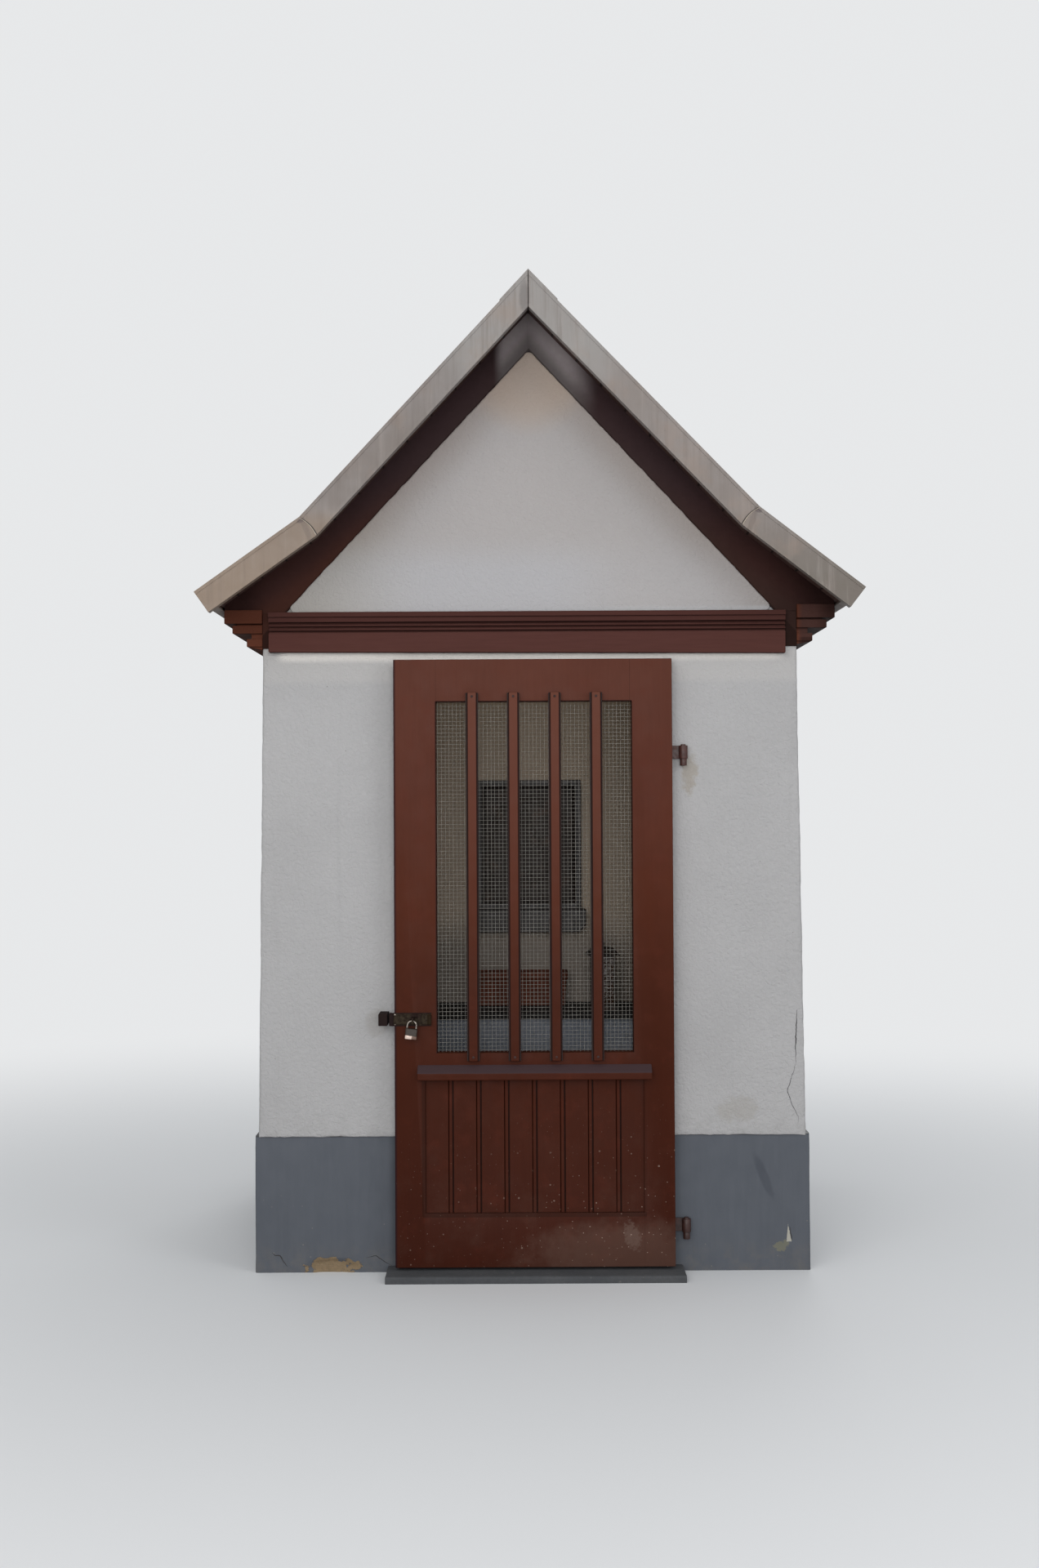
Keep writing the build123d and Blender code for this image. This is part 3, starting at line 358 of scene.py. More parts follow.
def door_finish(name="door_paint_coat", grain=(1, 1, 0.06), fade=0.0, rims=False):
    """Satin red-brown paint on planed wood, dirtier towards the foot; its darker foot is partly painted shade
    and its lighter head partly painted sky reflection.
    """
    f = Finish(name, 0.5, specular_ior_level=0.08)
    f.coat = f.ramp((f.z - DOOR_FOOT) / DOOR_HEIGHT,
                    [(0.0, (62, 28, 18)), (0.3, (64, 27, 14)), (0.45, (68, 30, 16)), (0.6, (79, 37, 22)),
                     (0.8, (86, 45, 33)), (1.0, (89, 51, 40))])
    f.shade(f.span(f.noise(0.22), 0.25, 0.75, 0.94, 1.06))
    strokes = f.noise(0.008, 3, stretch=grain, shift=2)
    f.shade(f.span(strokes, 0.25, 0.75, 0.97, 1.03))
    f.tint(f.span(f.noise(0.06, 3, shift=7), 0.5, 0.8) * 0.25, (92, 42, 29))
    low = f.fall(f.z, 0.1, 0.62)
    right = f.span(f.x, -0.2, 0.35, 0.35, 1.0)
    dust = f.spot((0.29, 0.06), (0.36, 0.14), 1.3, grain=0.07) * 0.3
    f.tint(dust, (112, 90, 80))
    film = low * f.span(f.noise(0.12, 5, 0.7, shift=11), 0.45, 0.8) * 0.14
    f.tint(film, (104, 84, 74))
    specks = f.most(f.dots(0.05, 0.0032, 0.4, 1, True), f.dots(0.02, 0.0017, 0.42, 6, True))
    f.tint(specks * low * right * 0.85, (158, 136, 124))
    f.tint(f.spot((0.315, 0.13), (0.03, 0.05), 2.6, lean=0.2, grain=0.01) * 0.2, (140, 122, 112))
    # Hairline joints between the stiles and the rails
    top_rail, foot_rail = f.span(f.z, TOP_RAIL_FOOT, TOP_RAIL_FOOT + 0.01), f.fall(f.z, 0.20, 0.21)
    joints = f.within(f.x, 0.3165, 0.3173, 0.0006) * top_rail * 0.5
    for x, rail, share in ((-0.301, top_rail, 0.25), (-0.339, foot_rail, 0.2), (0.355, foot_rail, 0.2)):
        joints = joints + f.within(f.x, x - 0.0004, x + 0.0004, 0.0006) * rail * share
    f.tint(joints, (38, 20, 15))
    # Shade in the panel's grooves, round the panel and at the door's left edge
    sunk = f.within(f.y, PANEL_FRONT + 0.0026, PANEL_FRONT + 0.008, 0.0012)
    f.tint(sunk * f.within(f.z, RAIL_TOP, PANEL_TOP, 0.001) * 0.85, (27, 10, 6))
    foot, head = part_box("door_panel")
    left = f.within(f.x, foot.x - 0.01, foot.x, 0.003)
    beside = f.most(left, f.within(f.x, head.x, head.x + 0.006, 0.003) * 0.4)
    beside = beside * f.within(f.z, foot.z - 0.008, head.z, 0.002)
    below = f.within(f.z, foot.z - 0.011, foot.z, 0.003)
    below = below * f.within(f.x, foot.x - 0.008, head.x + 0.006, 0.002)
    f.tint(f.most(beside, below) * 0.45, (30, 12, 5))
    f.tint(f.fall(f.x, DOOR_LEFT + 0.002, DOOR_LEFT + 0.0095) * 0.85, (40, 20, 24))
    # Faces that look up get a greyish-purple tone
    if fade:
        f.tint(f.span(f.facing_up(), 0.2, 0.45) * fade, (66, 54, 57))
    if rims:
        # Window bars: lighter higher up, with painted shade as dark rims along their sides
        bar = (f.x - (FIRST_BAR - BAR_PITCH / 2)) / BAR_PITCH
        off = abs(f.maths("FRACT", bar) - 0.5)
        f.tint(f.span(f.z, 0.8, 1.9) * 0.45, (108, 66, 52))
        f.tint(f.span(off * BAR_PITCH, 0.012, 0.0134) * 0.92, (30, 14, 10))
    else:
        # Painted shade: dark lines along the window opening's sides and head
        left = f.within(f.x, WINDOW_LEFT - 0.0028, WINDOW_LEFT + 0.001, 0.0006)
        right = f.within(f.x, WINDOW_RIGHT - 0.001, WINDOW_RIGHT + 0.0016, 0.0006)
        sides = f.most(left, right) * f.within(f.z, WINDOW_FOOT, WINDOW_HEAD, 0.001)
        top = f.within(f.z, WINDOW_HEAD - 0.001, WINDOW_HEAD + 0.0024, 0.0006)
        top = top * f.within(f.x, WINDOW_LEFT, WINDOW_RIGHT, 0.001)
        f.tint(f.most(sides, top) * 0.75, (36, 18, 14))
    f.bump(strokes, 0.00025)
    f.bump(f.noise(0.05, 3, 0.5, shift=3), 0.0006)
    rough = f.span(f.noise(0.05, shift=5), 0.25, 0.75, 0.46, 0.6)
    return f.done(rough + (dust + film) * 0.6)


def under_roof(f):
    """How far a point lies below the roof's surface, straight down."""
    rise = math.tan(UPPER[-1]) / 2 + math.tan(UPPER[1]) / 2
    lesser = math.tan(LOWER[-1]) / 2 + math.tan(LOWER[1]) / 2
    flat = (EAVE_Z[-1] + EAVE_Z[1]) / 2 + EAVE_X * lesser - abs(f.x) * lesser
    return f.most(RIDGE_Z - abs(f.x) * rise, flat) - f.z


def rake_tones(f):
    """Purple-black in the roof's painted shade, brown by the field and at the foot, with a painted grey glare
    at the top.
    """
    depth = under_roof(f)
    low = f.mix(f.span(f.x, -0.2, 0.2), (69, 42, 35), (60, 42, 38))
    by_field = f.mix(f.span(f.z, 2.25, 2.65), low, (60, 46, 46))
    by_verge = f.mix(f.span(f.z, 2.25, 2.6), (62, 40, 37), (61, 46, 47))
    f.coat = f.mix(f.span(depth, 0.1, 0.19), by_verge, by_field)
    # Painted shade: darker towards both ends and on the right side
    f.shade(f.span(abs(f.x), 0.82, 0.93, 1.0, 0.6))
    f.shade(f.span(f.x, 0.74, 0.84, 1.0, 0.84))
    # Painted glare: grey near the ridge
    top_glare_tone = f.mix(f.span(depth, 0.08, 0.17), (166, 157, 157), (99, 93, 92))
    top = f.fall(f.x, 0.11, 0.23) * f.span(f.x, -0.115, -0.075)
    f.tint(top, top_glare_tone)
    above = f.z - (FIELD_TOP - abs(f.x - FIELD_SHIFT) * FIELD_SLOPE)
    # Painted shadow along the pale field's edge where it laps the boards
    f.tint(f.fall(above, 0.004, 0.011) * 0.6, (30, 19, 16))


def trim_finish(name="trim_paint_coat", tone=(86, 54, 49), grain=(0.06, 1, 1), rake=False):
    """Satin dark paint on boards, a little faded and dusty on what faces up, with painted shade on what faces
    down, above the cornice's board and at the right end.
    """
    f = Finish(name, 0.78, specular_ior_level=0.04)
    f.coat = f.mix(f.noise(0.25), tone, tuple(c * 0.95 for c in tone))
    # Painted shade: darker above the cornice's board
    f.shade(f.span(f.z, 2.052, 2.058, 1.0, 0.8))
    # Painted shade: the right end, greyer and darker, deepest beyond 0.91 m
    shaded_right_end = f.span(f.x, 0.86, 0.88)
    f.tint(shaded_right_end * 0.7, (88, 64, 60))
    f.shade(1.0 - shaded_right_end * 0.34)
    f.shade(1.0 - shaded_right_end * f.fall(f.z, 2.03, 2.036) * 0.4)
    f.shade(f.span(f.x, 0.91, 0.97, 1.0, 0.55))
    if rake:
        rake_tones(f)
    strokes = f.noise(0.007, 3, stretch=grain, shift=2)
    f.shade(f.span(strokes, 0.25, 0.75, 0.95, 1.05))
    # Painted shade on what faces down
    facing = f.facing_up()
    f.shade(f.span(facing, -0.9, -0.3, 0.55, 1.0))
    dusty = f.span(facing, 0.6, 1.0) * f.span(f.noise(0.05, shift=4), 0.3, 0.7) * 0.55
    f.tint(dusty, (118, 100, 88))
    flakes = f.span(f.noise(0.014, 5, 0.75, shift=9), 0.72, 0.76)
    f.tint(flakes * 0.35, (120, 92, 78))
    f.bump(strokes, 0.0003)
    f.bump(f.noise(0.06, 3, 0.5, shift=3), 0.0008)
    return f.done(f.span(f.noise(0.05, shift=5), 0.25, 0.75, 0.7, 0.85))


def soffit_finish():
    """Stained boards: joints run along the building, about every 115 mm of width."""
    f = Finish("soffit_stain", 0.6, specular_ior_level=0.2)
    board = abs(f.x) / 0.078
    part = f.maths("FRACT", board)
    joint = f.most(f.fall(part, 0.0, 0.06), f.span(part, 0.94, 1.0))
    own = f.value("TexWhiteNoise", {"W": f.maths("FLOOR", board)}, noise_dimensions="1D")
    f.coat = f.mix(own, (88, 66, 60), (76, 56, 51))
    strokes = f.noise(0.006, stretch=(1, 0.05, 1), shift=2)
    f.shade(f.span(strokes, 0.25, 0.75, 0.88, 1.1))
    f.tint(joint, (34, 25, 23))
    # Painted light: boards near the verge and high up are made lighter against their shade
    by_verge = f.span(abs(f.y), 0.72, 0.8) * f.span(f.z, 2.3, 2.6)
    f.shade(f.span(by_verge, 0.0, 1.0, 1.0, 1.8))
    web = f.span(f.noise(0.09, 5, 0.7, shift=4), 0.6, 0.8)
    f.tint(web * 0.22, (96, 88, 84))
    f.bump(1.0 - joint, 0.003)
    f.bump(strokes, 0.0005)
    return f.done()


def sheet_finish():
    """Coated sheet metal, streaked by rain and faded in blotches, with a painted glare near the apex."""
    f = Finish("sheet_metal_coat", 0.5, specular_ior_level=0.3)
    f.coat = f.mix(f.span(f.noise(0.28), 0.3, 0.7), (130, 121, 115), (139, 132, 128))
    # Painted glare: paler near the apex
    f.tint(f.spot((0.0, 3.03), (0.42, 0.34)) * 0.75, (151, 148, 145))
    verge = f.span(abs(f.y), 0.78, 0.9, 0.3, 1.0)
    foot = f.fall(f.z, 2.15, 2.45) * verge
    f.tint(foot * f.fall(f.x, -0.6, -0.5) * 0.6, (150, 132, 116))
    f.tint(foot * f.span(f.x, 0.5, 0.6) * 0.8, (106, 99, 90))
    streak = f.noise(0.018, 4, 0.65, stretch=(1, 1, 0.05), shift=3)
    f.tint(f.span(streak, 0.45, 0.75) * 0.5, (114, 104, 98))
    pale = f.noise(0.03, 4, 0.65, stretch=(1, 1, 0.07), shift=8)
    f.tint(f.span(pale, 0.5, 0.8) * 0.5, (160, 152, 146))
    f.tint(f.span(f.noise(0.12, 3, shift=5), 0.5, 0.75) * 0.35, (148, 128, 114))
    left = f.fall(f.x, -0.25, -0.15) * verge
    f.tint(left * f.span(f.z, 2.4, 2.46), f.scale(f.coat, 0.9))
    f.tint(left * f.fall(f.z, 2.36, 2.42) * 0.5, (136, 116, 96))
    f.tint(f.spot((-0.012, 3.061), (0.02, 0.06), 0.5) * 0.5, (98, 92, 90))
    for side in (-1, 1):
        knee = f.spot((side * 0.685, KNEE_Z[side] - 0.044), (0.012, 0.06), 1.6, lean=-side * 0.35)
        f.tint(knee * 0.4, (104, 92, 84))
        notch = f.spot((side * 0.703, KNEE_Z[side] - 0.012), (0.013, 0.01), 0.6, lean=side * 0.7)
        f.tint(notch * 0.55, (78, 66, 68))
    f.tint(f.dots(0.05, 0.003, 0.4) * 0.4, (100, 92, 86))
    f.bump(f.noise(0.12, 2, 0.4), 0.004)
    f.bump(f.noise(0.002, 2), 0.0001)
    return f.done(f.span(f.noise(0.04, shift=1), 0.25, 0.75, 0.42, 0.62))


def stone_finish(name, first, second, grain=0.01, depth=0.0008, roughness=0.85, specks=None):
    """A mottled mineral surface: concrete, plaster, slab, soil or fired clay."""
    f = Finish(name, roughness)
    f.coat = f.mix(f.span(f.noise(grain * 14), 0.3, 0.7), first, second)
    f.shade(f.span(f.noise(grain, 4, 0.7, shift=2), 0.25, 0.75, 0.9, 1.1))
    if specks:
        f.tint(f.dots(grain * 3, grain * 0.5, 0.6) * 0.7, specks)
    f.bump(f.noise(grain, 4, 0.65), depth)
    f.bump(f.noise(grain / 4, 2), depth / 4)
    return f.done()


def metal_finish(name, tone, worn, roughness=0.45, metallic=0.8, share=0.5, grain=0.012, depth=0.0003,
                 foot=1.0):
    """Metal with a patina: the worn tone shows in patches, and near the ground it may be darker."""
    f = Finish(name, roughness, metallic=metallic)
    f.coat = f.mix(f.span(f.noise(grain, 5, 0.7), 0.5 - share * 0.2, 0.62), tone, worn)
    f.shade(f.span(f.noise(grain / 5, 3, shift=2), 0.25, 0.75, 0.85, 1.12))
    f.shade(f.span(f.z, 0.3, 1.2, foot, 1.0))
    f.bump(f.noise(grain / 3, 4, 0.65), depth)
    return f.done(f.span(f.noise(grain / 2, 4, 0.7, shift=4), 0.25, 0.75, roughness - 0.1, roughness + 0.15))


def relief_finish():
    """Grey-brown carved stone: dark in the hollows, rubbed pale on what stands out."""
    f = Finish("relief_coat", 0.7)
    f.coat = f.ramp((CARVING_BACK - f.y) / CARVING_DEPTH,
                    [(0.0, (50, 42, 38)), (0.45, (94, 84, 76)), (1.0, (138, 127, 115))])
    f.shade(f.span(f.noise(0.02, 4, 0.7), 0.25, 0.75, 0.8, 1.15))
    f.tint(f.span(f.noise(0.07, shift=4), 0.5, 0.8) * 0.35, (112, 84, 66))
    f.bump(f.noise(0.006, 4, 0.65), 0.0006)
    return f.done()


def wood_finish(name, first, second, grain=(1, 1, 0.08)):
    f = Finish(name, 0.5)
    rings = f.noise(0.01, stretch=grain, warp=0.5)
    f.coat = f.mix(f.span(rings, 0.3, 0.7), first, second)
    f.shade(f.span(f.noise(0.08, 3, 0.55), 0.25, 0.75, 0.9, 1.1))
    f.bump(rings, 0.0004)
    return f.done(f.span(rings, 0.3, 0.7, 0.42, 0.6))


def glass_finish():
    f = Finish("amber_glass_pane", 0.12, transmission_weight=0.55, ior=1.45)
    f.coat = f.mix(f.noise(0.03), (98, 58, 22), (54, 31, 13))
    f.bump(f.noise(0.008, 3, 0.5), 0.0005)
    return f.done()


def latch_finish(name, tone, worn):
    """Bronze gone brown: mottled, dark round its edges and at its right end, with painted shade inside the
    shackle.
    """
    f = Finish(name, 0.72, specular_ior_level=0.05)
    f.coat = f.mix(f.span(f.noise(0.014, 5, 0.7), 0.42, 0.62), tone, worn)
    f.shade(f.span(f.noise(0.003, 3, shift=2), 0.25, 0.75, 0.85, 1.12))
    f.tint(f.span(f.x, LATCH_RIGHT - 0.014, LATCH_RIGHT - 0.012) * 0.85, (42, 32, 20))
    f.tint(f.fall(f.x, LATCH_LEFT + 0.012, LATCH_LEFT + 0.016) * 0.9, (36, 26, 26))
    rim = f.span(abs(f.z - LATCH_Z), 0.0155, 0.019)
    # Painted shade inside the padlock's shackle
    shackle_shade = f.spot((-0.37, 0.829), (0.022, 0.012), 1.2, grain=0.01)
    f.tint(f.most(rim * 0.8, shackle_shade * 0.7), (40, 27, 26))
    f.bump(f.noise(0.004, 4, 0.65), 0.0003)
    return f.done()


def padlock_finish():
    """Brass: dull and dark above, paler at its foot, with a painted highlight along the left of its foot."""
    f = Finish("padlock_brass_coat", 0.5, metallic=0.2)
    low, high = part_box("padlock_body")
    x, z = f.x - (low.x + high.x) / 2, f.z - (low.z + high.z) / 2
    cos, sin = math.cos(math.radians(LOCK_LEAN)), math.sin(math.radians(LOCK_LEAN))
    up, across = z * cos + x * sin, x * cos - z * sin
    wobble = (f.noise(0.01, 3, 0.55) - 0.5) * 0.005
    foot = f.fall(up + wobble, -0.0068, -0.0052)
    # Painted highlight along the left of the foot
    bright = foot * f.fall(across + wobble, 0.002, 0.007)
    dull = f.mix(f.noise(0.006, 4, 0.7), (56, 48, 40), (38, 29, 23))
    f.coat = f.mix(foot, dull, (120, 96, 84))
    f.tint(bright, (236, 212, 198))
    f.bump(f.noise(0.003), 0.0002)
    return f.done(f.span(bright, 0.0, 1.0, 0.6, 0.35))


FINISHES = {
    "render": render_finish(),
    "plinth_paint": plinth_finish(),
    "concrete": stone_finish("concrete_worn", (74, 75, 77), (62, 64, 67), 0.012, 0.0012, 0.88, (96, 95, 93)),
    "trim_paint": trim_finish(),
    "soffit_wood": soffit_finish(),
    "sheet_metal": sheet_finish(),
    "altar_plaster": stone_finish("altar_plaster_coat", (139, 143, 152), (124, 130, 140), 0.02, 0.0008),
    "dark_slab": stone_finish("dark_slab_coat", (20, 15, 13), (14, 11, 10), 0.006, 0.0003, 0.8, (38, 32, 29)),
    "dark_wood": wood_finish("dark_wood_coat", (36, 26, 22), (25, 18, 15)),
    "relief": relief_finish(),
    "terracotta": stone_finish("terracotta_coat", (98, 47, 27), (82, 38, 21), 0.008, 0.0005),
    "soil": stone_finish("soil_coat", (62, 48, 38), (44, 34, 27), 0.006, 0.003, 0.95, (92, 78, 64)),
    "lantern_iron": metal_finish("lantern_iron_coat", (44, 40, 38), (74, 62, 54), 0.55, 0.6),
    "amber_glass": glass_finish(),
    "door_paint": door_finish(),
    "wire": metal_finish("wire_galvanised", (156, 153, 146), (136, 132, 124), 0.5, 0.3, 0.6),
    "hinge_iron": metal_finish("hinge_iron_coat", (72, 38, 31), (56, 29, 23), 0.5, 0.0, 0.5, 0.02, foot=0.6),
    "latch_bronze": latch_finish("latch_bronze_coat", (58, 50, 40), (38, 30, 24)),
    "padlock_steel": metal_finish("padlock_steel_coat", (168, 160, 150), (96, 86, 78), 0.4, 0.6, 0.5, 0.008),
    "padlock_brass": padlock_finish(),
}
SLOT_OF = {part["node"]: part["material_slot"] for part in frame["record"]["subparts"]}

# The carried-over nodes get their slots' finishes, and some of the painted ones their own
for node_name, node in frame["nodes"].items():
    node.data.materials.clear()
    node.data.materials.append(FINISHES[SLOT_OF[node_name]])

RAILS = door_finish("door_paint_rails", (0.06, 1, 1), fade=0.85)
BARS = door_finish("door_paint_bars", rims=True)
EAVE_PAINT = trim_finish("trim_paint_eaves", (96, 55, 41), (1, 0.06, 1))
RAKE_PAINT = trim_finish("trim_paint_rakes", grain=(0.3, 1, 0.3), rake=True)
for node_name, finish in (("door_drip_rail", RAILS), ("window_bars", BARS), ("eave_cornices", EAVE_PAINT),
                          ("rake_boards", RAKE_PAINT), ("corner_boards", RAKE_PAINT)):
    frame["nodes"][node_name].data.materials[0] = finish


def soften(node_name, width):
    """Rounds a node's sharp edges with modifiers, and leaves its mesh as it is."""
    node = frame["nodes"][node_name]
    weld = node.modifiers.new("weld", "WELD")
    weld.merge_threshold = 0.00001
    flat = node.modifiers.new("flat", "DECIMATE")
    flat.decimate_type = "DISSOLVE"
    flat.angle_limit = math.radians(0.5)
    bevel = node.modifiers.new("round", "BEVEL")
    bevel.width = width
    bevel.segments = 2
    bevel.limit_method = "ANGLE"
    bevel.angle_limit = math.radians(35)


for width, node_names in {
    0.0006: ["latch_plate"],
    0.0008: ["lantern_frame", "latch_bolt", "hinge_straps", "hinge_pintles"],
    0.001: ["roof_boards", "latch_keeper"],
    0.0012: ["verge_front", "verge_back", "eave_boards"],
    0.0015: ["corner_boards"],
    0.002: ["cornice_front", "cornice_back", "eave_cornices", "floor_slab"],
    0.0028: ["window_bars"],
    0.003: ["door_drip_rail", "altar_slab", "relief_console", "purlins", "ridge_beam"],
    0.004: ["altar_block"],
}.items():
    for node_name in node_names:
        soften(node_name, width)


def add_object(name, data):
    made = bpy.data.objects.new(name, data)
    scene.collection.objects.link(made)
    return made


def welded_copy(node_name):
    """A node's mesh as a welded bmesh, with flat faces joined up."""
    whole = bmesh.new()
    whole.from_mesh(frame["nodes"][node_name].data)
    bmesh.ops.remove_doubles(whole, verts=whole.verts, dist=1e-6)
    bmesh.ops.dissolve_limit(whole, angle_limit=math.radians(0.5), verts=whole.verts, edges=whole.edges)
    return whole


def merge_flat(whole):
    """Closes hairline slits and takes out the edges between faces in one plane."""
    bmesh.ops.remove_doubles(whole, verts=whole.verts, dist=1e-5)
    bmesh.ops.dissolve_degenerate(whole, edges=whole.edges, dist=1e-5)
    bmesh.ops.dissolve_limit(whole, angle_limit=math.radians(0.3), verts=whole.verts, edges=whole.edges)


def united(nodes):
    """The union of some nodes' solids as one bmesh."""
    objects = []
    for node_name in nodes:
        part = welded_copy(node_name)
        bmesh.ops.recalc_face_normals(part, faces=part.faces)
        mesh = bpy.data.meshes.new("part")
        part.to_mesh(mesh)
        part.free()
        objects.append(add_object("part", mesh))
    for other in objects[1:]:
        joint = objects[0].modifiers.new("join", "BOOLEAN")
        joint.operation, joint.solver, joint.object = "UNION", "EXACT", other
    bpy.context.view_layer.update()
    evaluated = objects[0].evaluated_get(bpy.context.evaluated_depsgraph_get())
    whole = bmesh.new()
    whole.from_mesh(evaluated.to_mesh())
    for made in objects:
        bpy.data.objects.remove(made)
    merge_flat(whole)
    return whole


def round_edges(whole, test, width, segments=2):
    edges = [e for e in whole.edges if len(e.link_faces) == 2 and test(e)]
    bmesh.ops.bevel(whole, geom=edges, offset=width, segments=segments, affect="EDGES", profile=0.5)


def cut_grid(whole, test, steps):
    """Cuts the faces that pass a test along planes, so far apart on each axis."""
    for face in whole.faces:
        face.tag = False
        face.material_index = 1 if test(face) else 0
    for axis, planes in enumerate(steps):
        if planes == 0:
            continue
        if isinstance(planes, float):
            reach = [v.co[axis] for v in whole.verts]
            first, last = math.ceil(min(reach) / planes), math.floor(max(reach) / planes)
            planes = [n * planes + 0.00037 for n in range(first, last + 1)]
        normal = Vector((axis == 0, axis == 1, axis == 2))
        for place in planes:
            faces = [f for f in whole.faces if f.material_index == 1
                     and min(v.co[axis] for v in f.verts) < place - 1e-6
                     and max(v.co[axis] for v in f.verts) > place + 1e-6]
            parts = set(faces)
            for face in faces:
                parts.update(face.edges)
                parts.update(face.verts)
            bmesh.ops.bisect_plane(whole, geom=list(parts), dist=1e-7, plane_co=normal * place,
                                   plane_no=normal)


def finish_piece(whole, name, body, slot, replaces=(), smooth=40, finish=None):
    """Makes the object of a bmesh, dresses it and lets it ride on its body."""
    for face in whole.faces:
        face.material_index = 0
        face.smooth = smooth > 0
    mesh = bpy.data.meshes.new(name)
    whole.to_mesh(mesh)
    whole.free()
    if smooth:
        mesh.set_sharp_from_angle(angle=math.radians(smooth))
    piece = add_object(name, mesh)
    mesh.materials.append(finish or FINISHES[slot])
    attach(piece, body)
    if replaces:
        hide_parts(*replaces)
    return piece


def lumps(point, size, seed=0.0):
    """Smooth noise from -1 to 1 at a point."""
    return noise.noise(point / size + Vector((seed, seed * 1.7, seed * 0.4)))


def smooth_step(value, low, high):
    t = max(0.0, min(1.0, (value - low) / (high - low)))
    return t * t * (3 - 2 * t)


def house_corner(edge):
    """Whether an edge is one of the building's four upright outer corners."""
    a, b = (v.co for v in edge.verts)
    return abs(a.z - b.z) > 0.1 and min(abs(a.x), abs(b.x)) > 0.8 and min(abs(a.y), abs(b.y)) > 0.6


def outer_face(face):
    c = face.calc_center_median()
    return (abs(c.y) > SKIN_Y or abs(c.x) > SKIN_X) and abs(face.normal.z) < 0.9


def walls():
    """The rendered walls as one hollow shell: soft corners, trowelled waves and a ragged foot."""
    nodes = ("wall_front", "wall_over_door", "wall_right", "wall_left", "wall_back")
    whole = united(nodes)
    every = list(whole.verts) + list(whole.edges) + list(whole.faces)
    bmesh.ops.bisect_plane(whole, geom=every, dist=1e-6, plane_co=(0, 0, WALL_TOP), plane_no=(0, 0, 1))
    merge_flat(whole)

    def foot(edge):
        a, b = (v.co for v in edge.verts)
        out = all(abs(p.y) > 0.6 or abs(p.x) > 0.8 for p in (a, b))
        inward = edge.calc_face_angle(0) > 1 and abs(a.x - b.x) + abs(a.y - b.y) > 0.05
        return out and inward and max(a.z, b.z) < PLINTH_TOP + 0.001

    round_edges(whole, house_corner, 0.009, 3)
    round_edges(whole, foot, 0.004, 2)
    cut_grid(whole, outer_face, (0.015, 0.015, 0.015))
    whole.normal_update()
    for v in whole.verts:
        p = v.co.copy()
        if abs(p.y) < SKIN_Y and abs(p.x) < SKIN_X:
            continue
        trowel = smooth_step(p.x, 0.45, 0.75) if p.y < -0.6 else 0.4
        shift = 0.0016 * lumps(p, 0.17, 1) + (0.0008 + 0.0006 * trowel) * lumps(p, 0.034, 5)
        shift += 0.0006 * lumps(p, 0.017, 9)
        near_corner = smooth_step(min(abs(p.x) - 0.83, abs(p.y) - 0.62), 0.0, 0.03)
        shift -= near_corner * 0.0022 * max(0.0, lumps(p, 0.06, 13))
        out = Vector((v.normal.x, v.normal.y, 0.0))
        if out.length > 0.1:
            v.co += out.normalized() * shift
        if p.z < PLINTH_TOP + 0.006:
            v.co.z += 0.003 * lumps(p, 0.05, 3) + 0.0015 * lumps(p, 0.016, 7) - 0.002
    return finish_piece(whole, "walls_rendered", "building", "render", nodes, 50)


def door_frame():
    """The leaf's frame in one skin of paint, so that its joints hardly show."""
    nodes = ("door_stiles", "door_rails")
    whole = united(nodes)
    round_edges(whole, lambda edge: edge.calc_face_angle(0) > 0.6, 0.0022)
    return finish_piece(whole, "door_frame_painted", "door", "door_paint", nodes, 30)


def skin(whole, rings, start=True):
    """Joins rings of vertices by faces and caps them; returns the last cap."""
    for first, second in zip(rings, rings[1:]):
        for k in range(len(first)):
            j = (k + 1) % len(first)
            whole.faces.new((first[k], first[j], second[j], second[k]))
    if start:
        whole.faces.new(rings[0][::-1])
    return whole.faces.new(rings[-1])


def turns(sides):
    return [2 * math.pi * k / sides for k in range(sides)]


def panel():
    """The lower panel's boards, each with a bead and a groove on both sides of it."""
    low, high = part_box("door_panel")
    boards, strip, depth = 8, 0.016, 0.0046
    pitch = (high.x - low.x + strip) / boards
    bead = ((-0.0012, 0.0), (0.0006, depth * 0.8), (0.0026, 0.0010), (0.0042, 0.0004), (0.0116, 0.0004),
            (0.0130, depth), (0.0158, depth), (0.0170, 0.0))
    profile = [(low.x, low.y)]
    for index in range(1, boards):
        x = low.x + pitch * index - strip
        profile += [(x + across, low.y + sunk) for across, sunk in bead]
    profile += [(high.x, low.y), (high.x, high.y), (low.x, high.y)]
    whole = bmesh.new()
    skin(whole, [[whole.verts.new((x, y, z)) for x, y in profile] for z in (low.z, high.z)])
    return finish_piece(whole, "panel_boards", "door", "door_paint", ("door_panel",), 20)


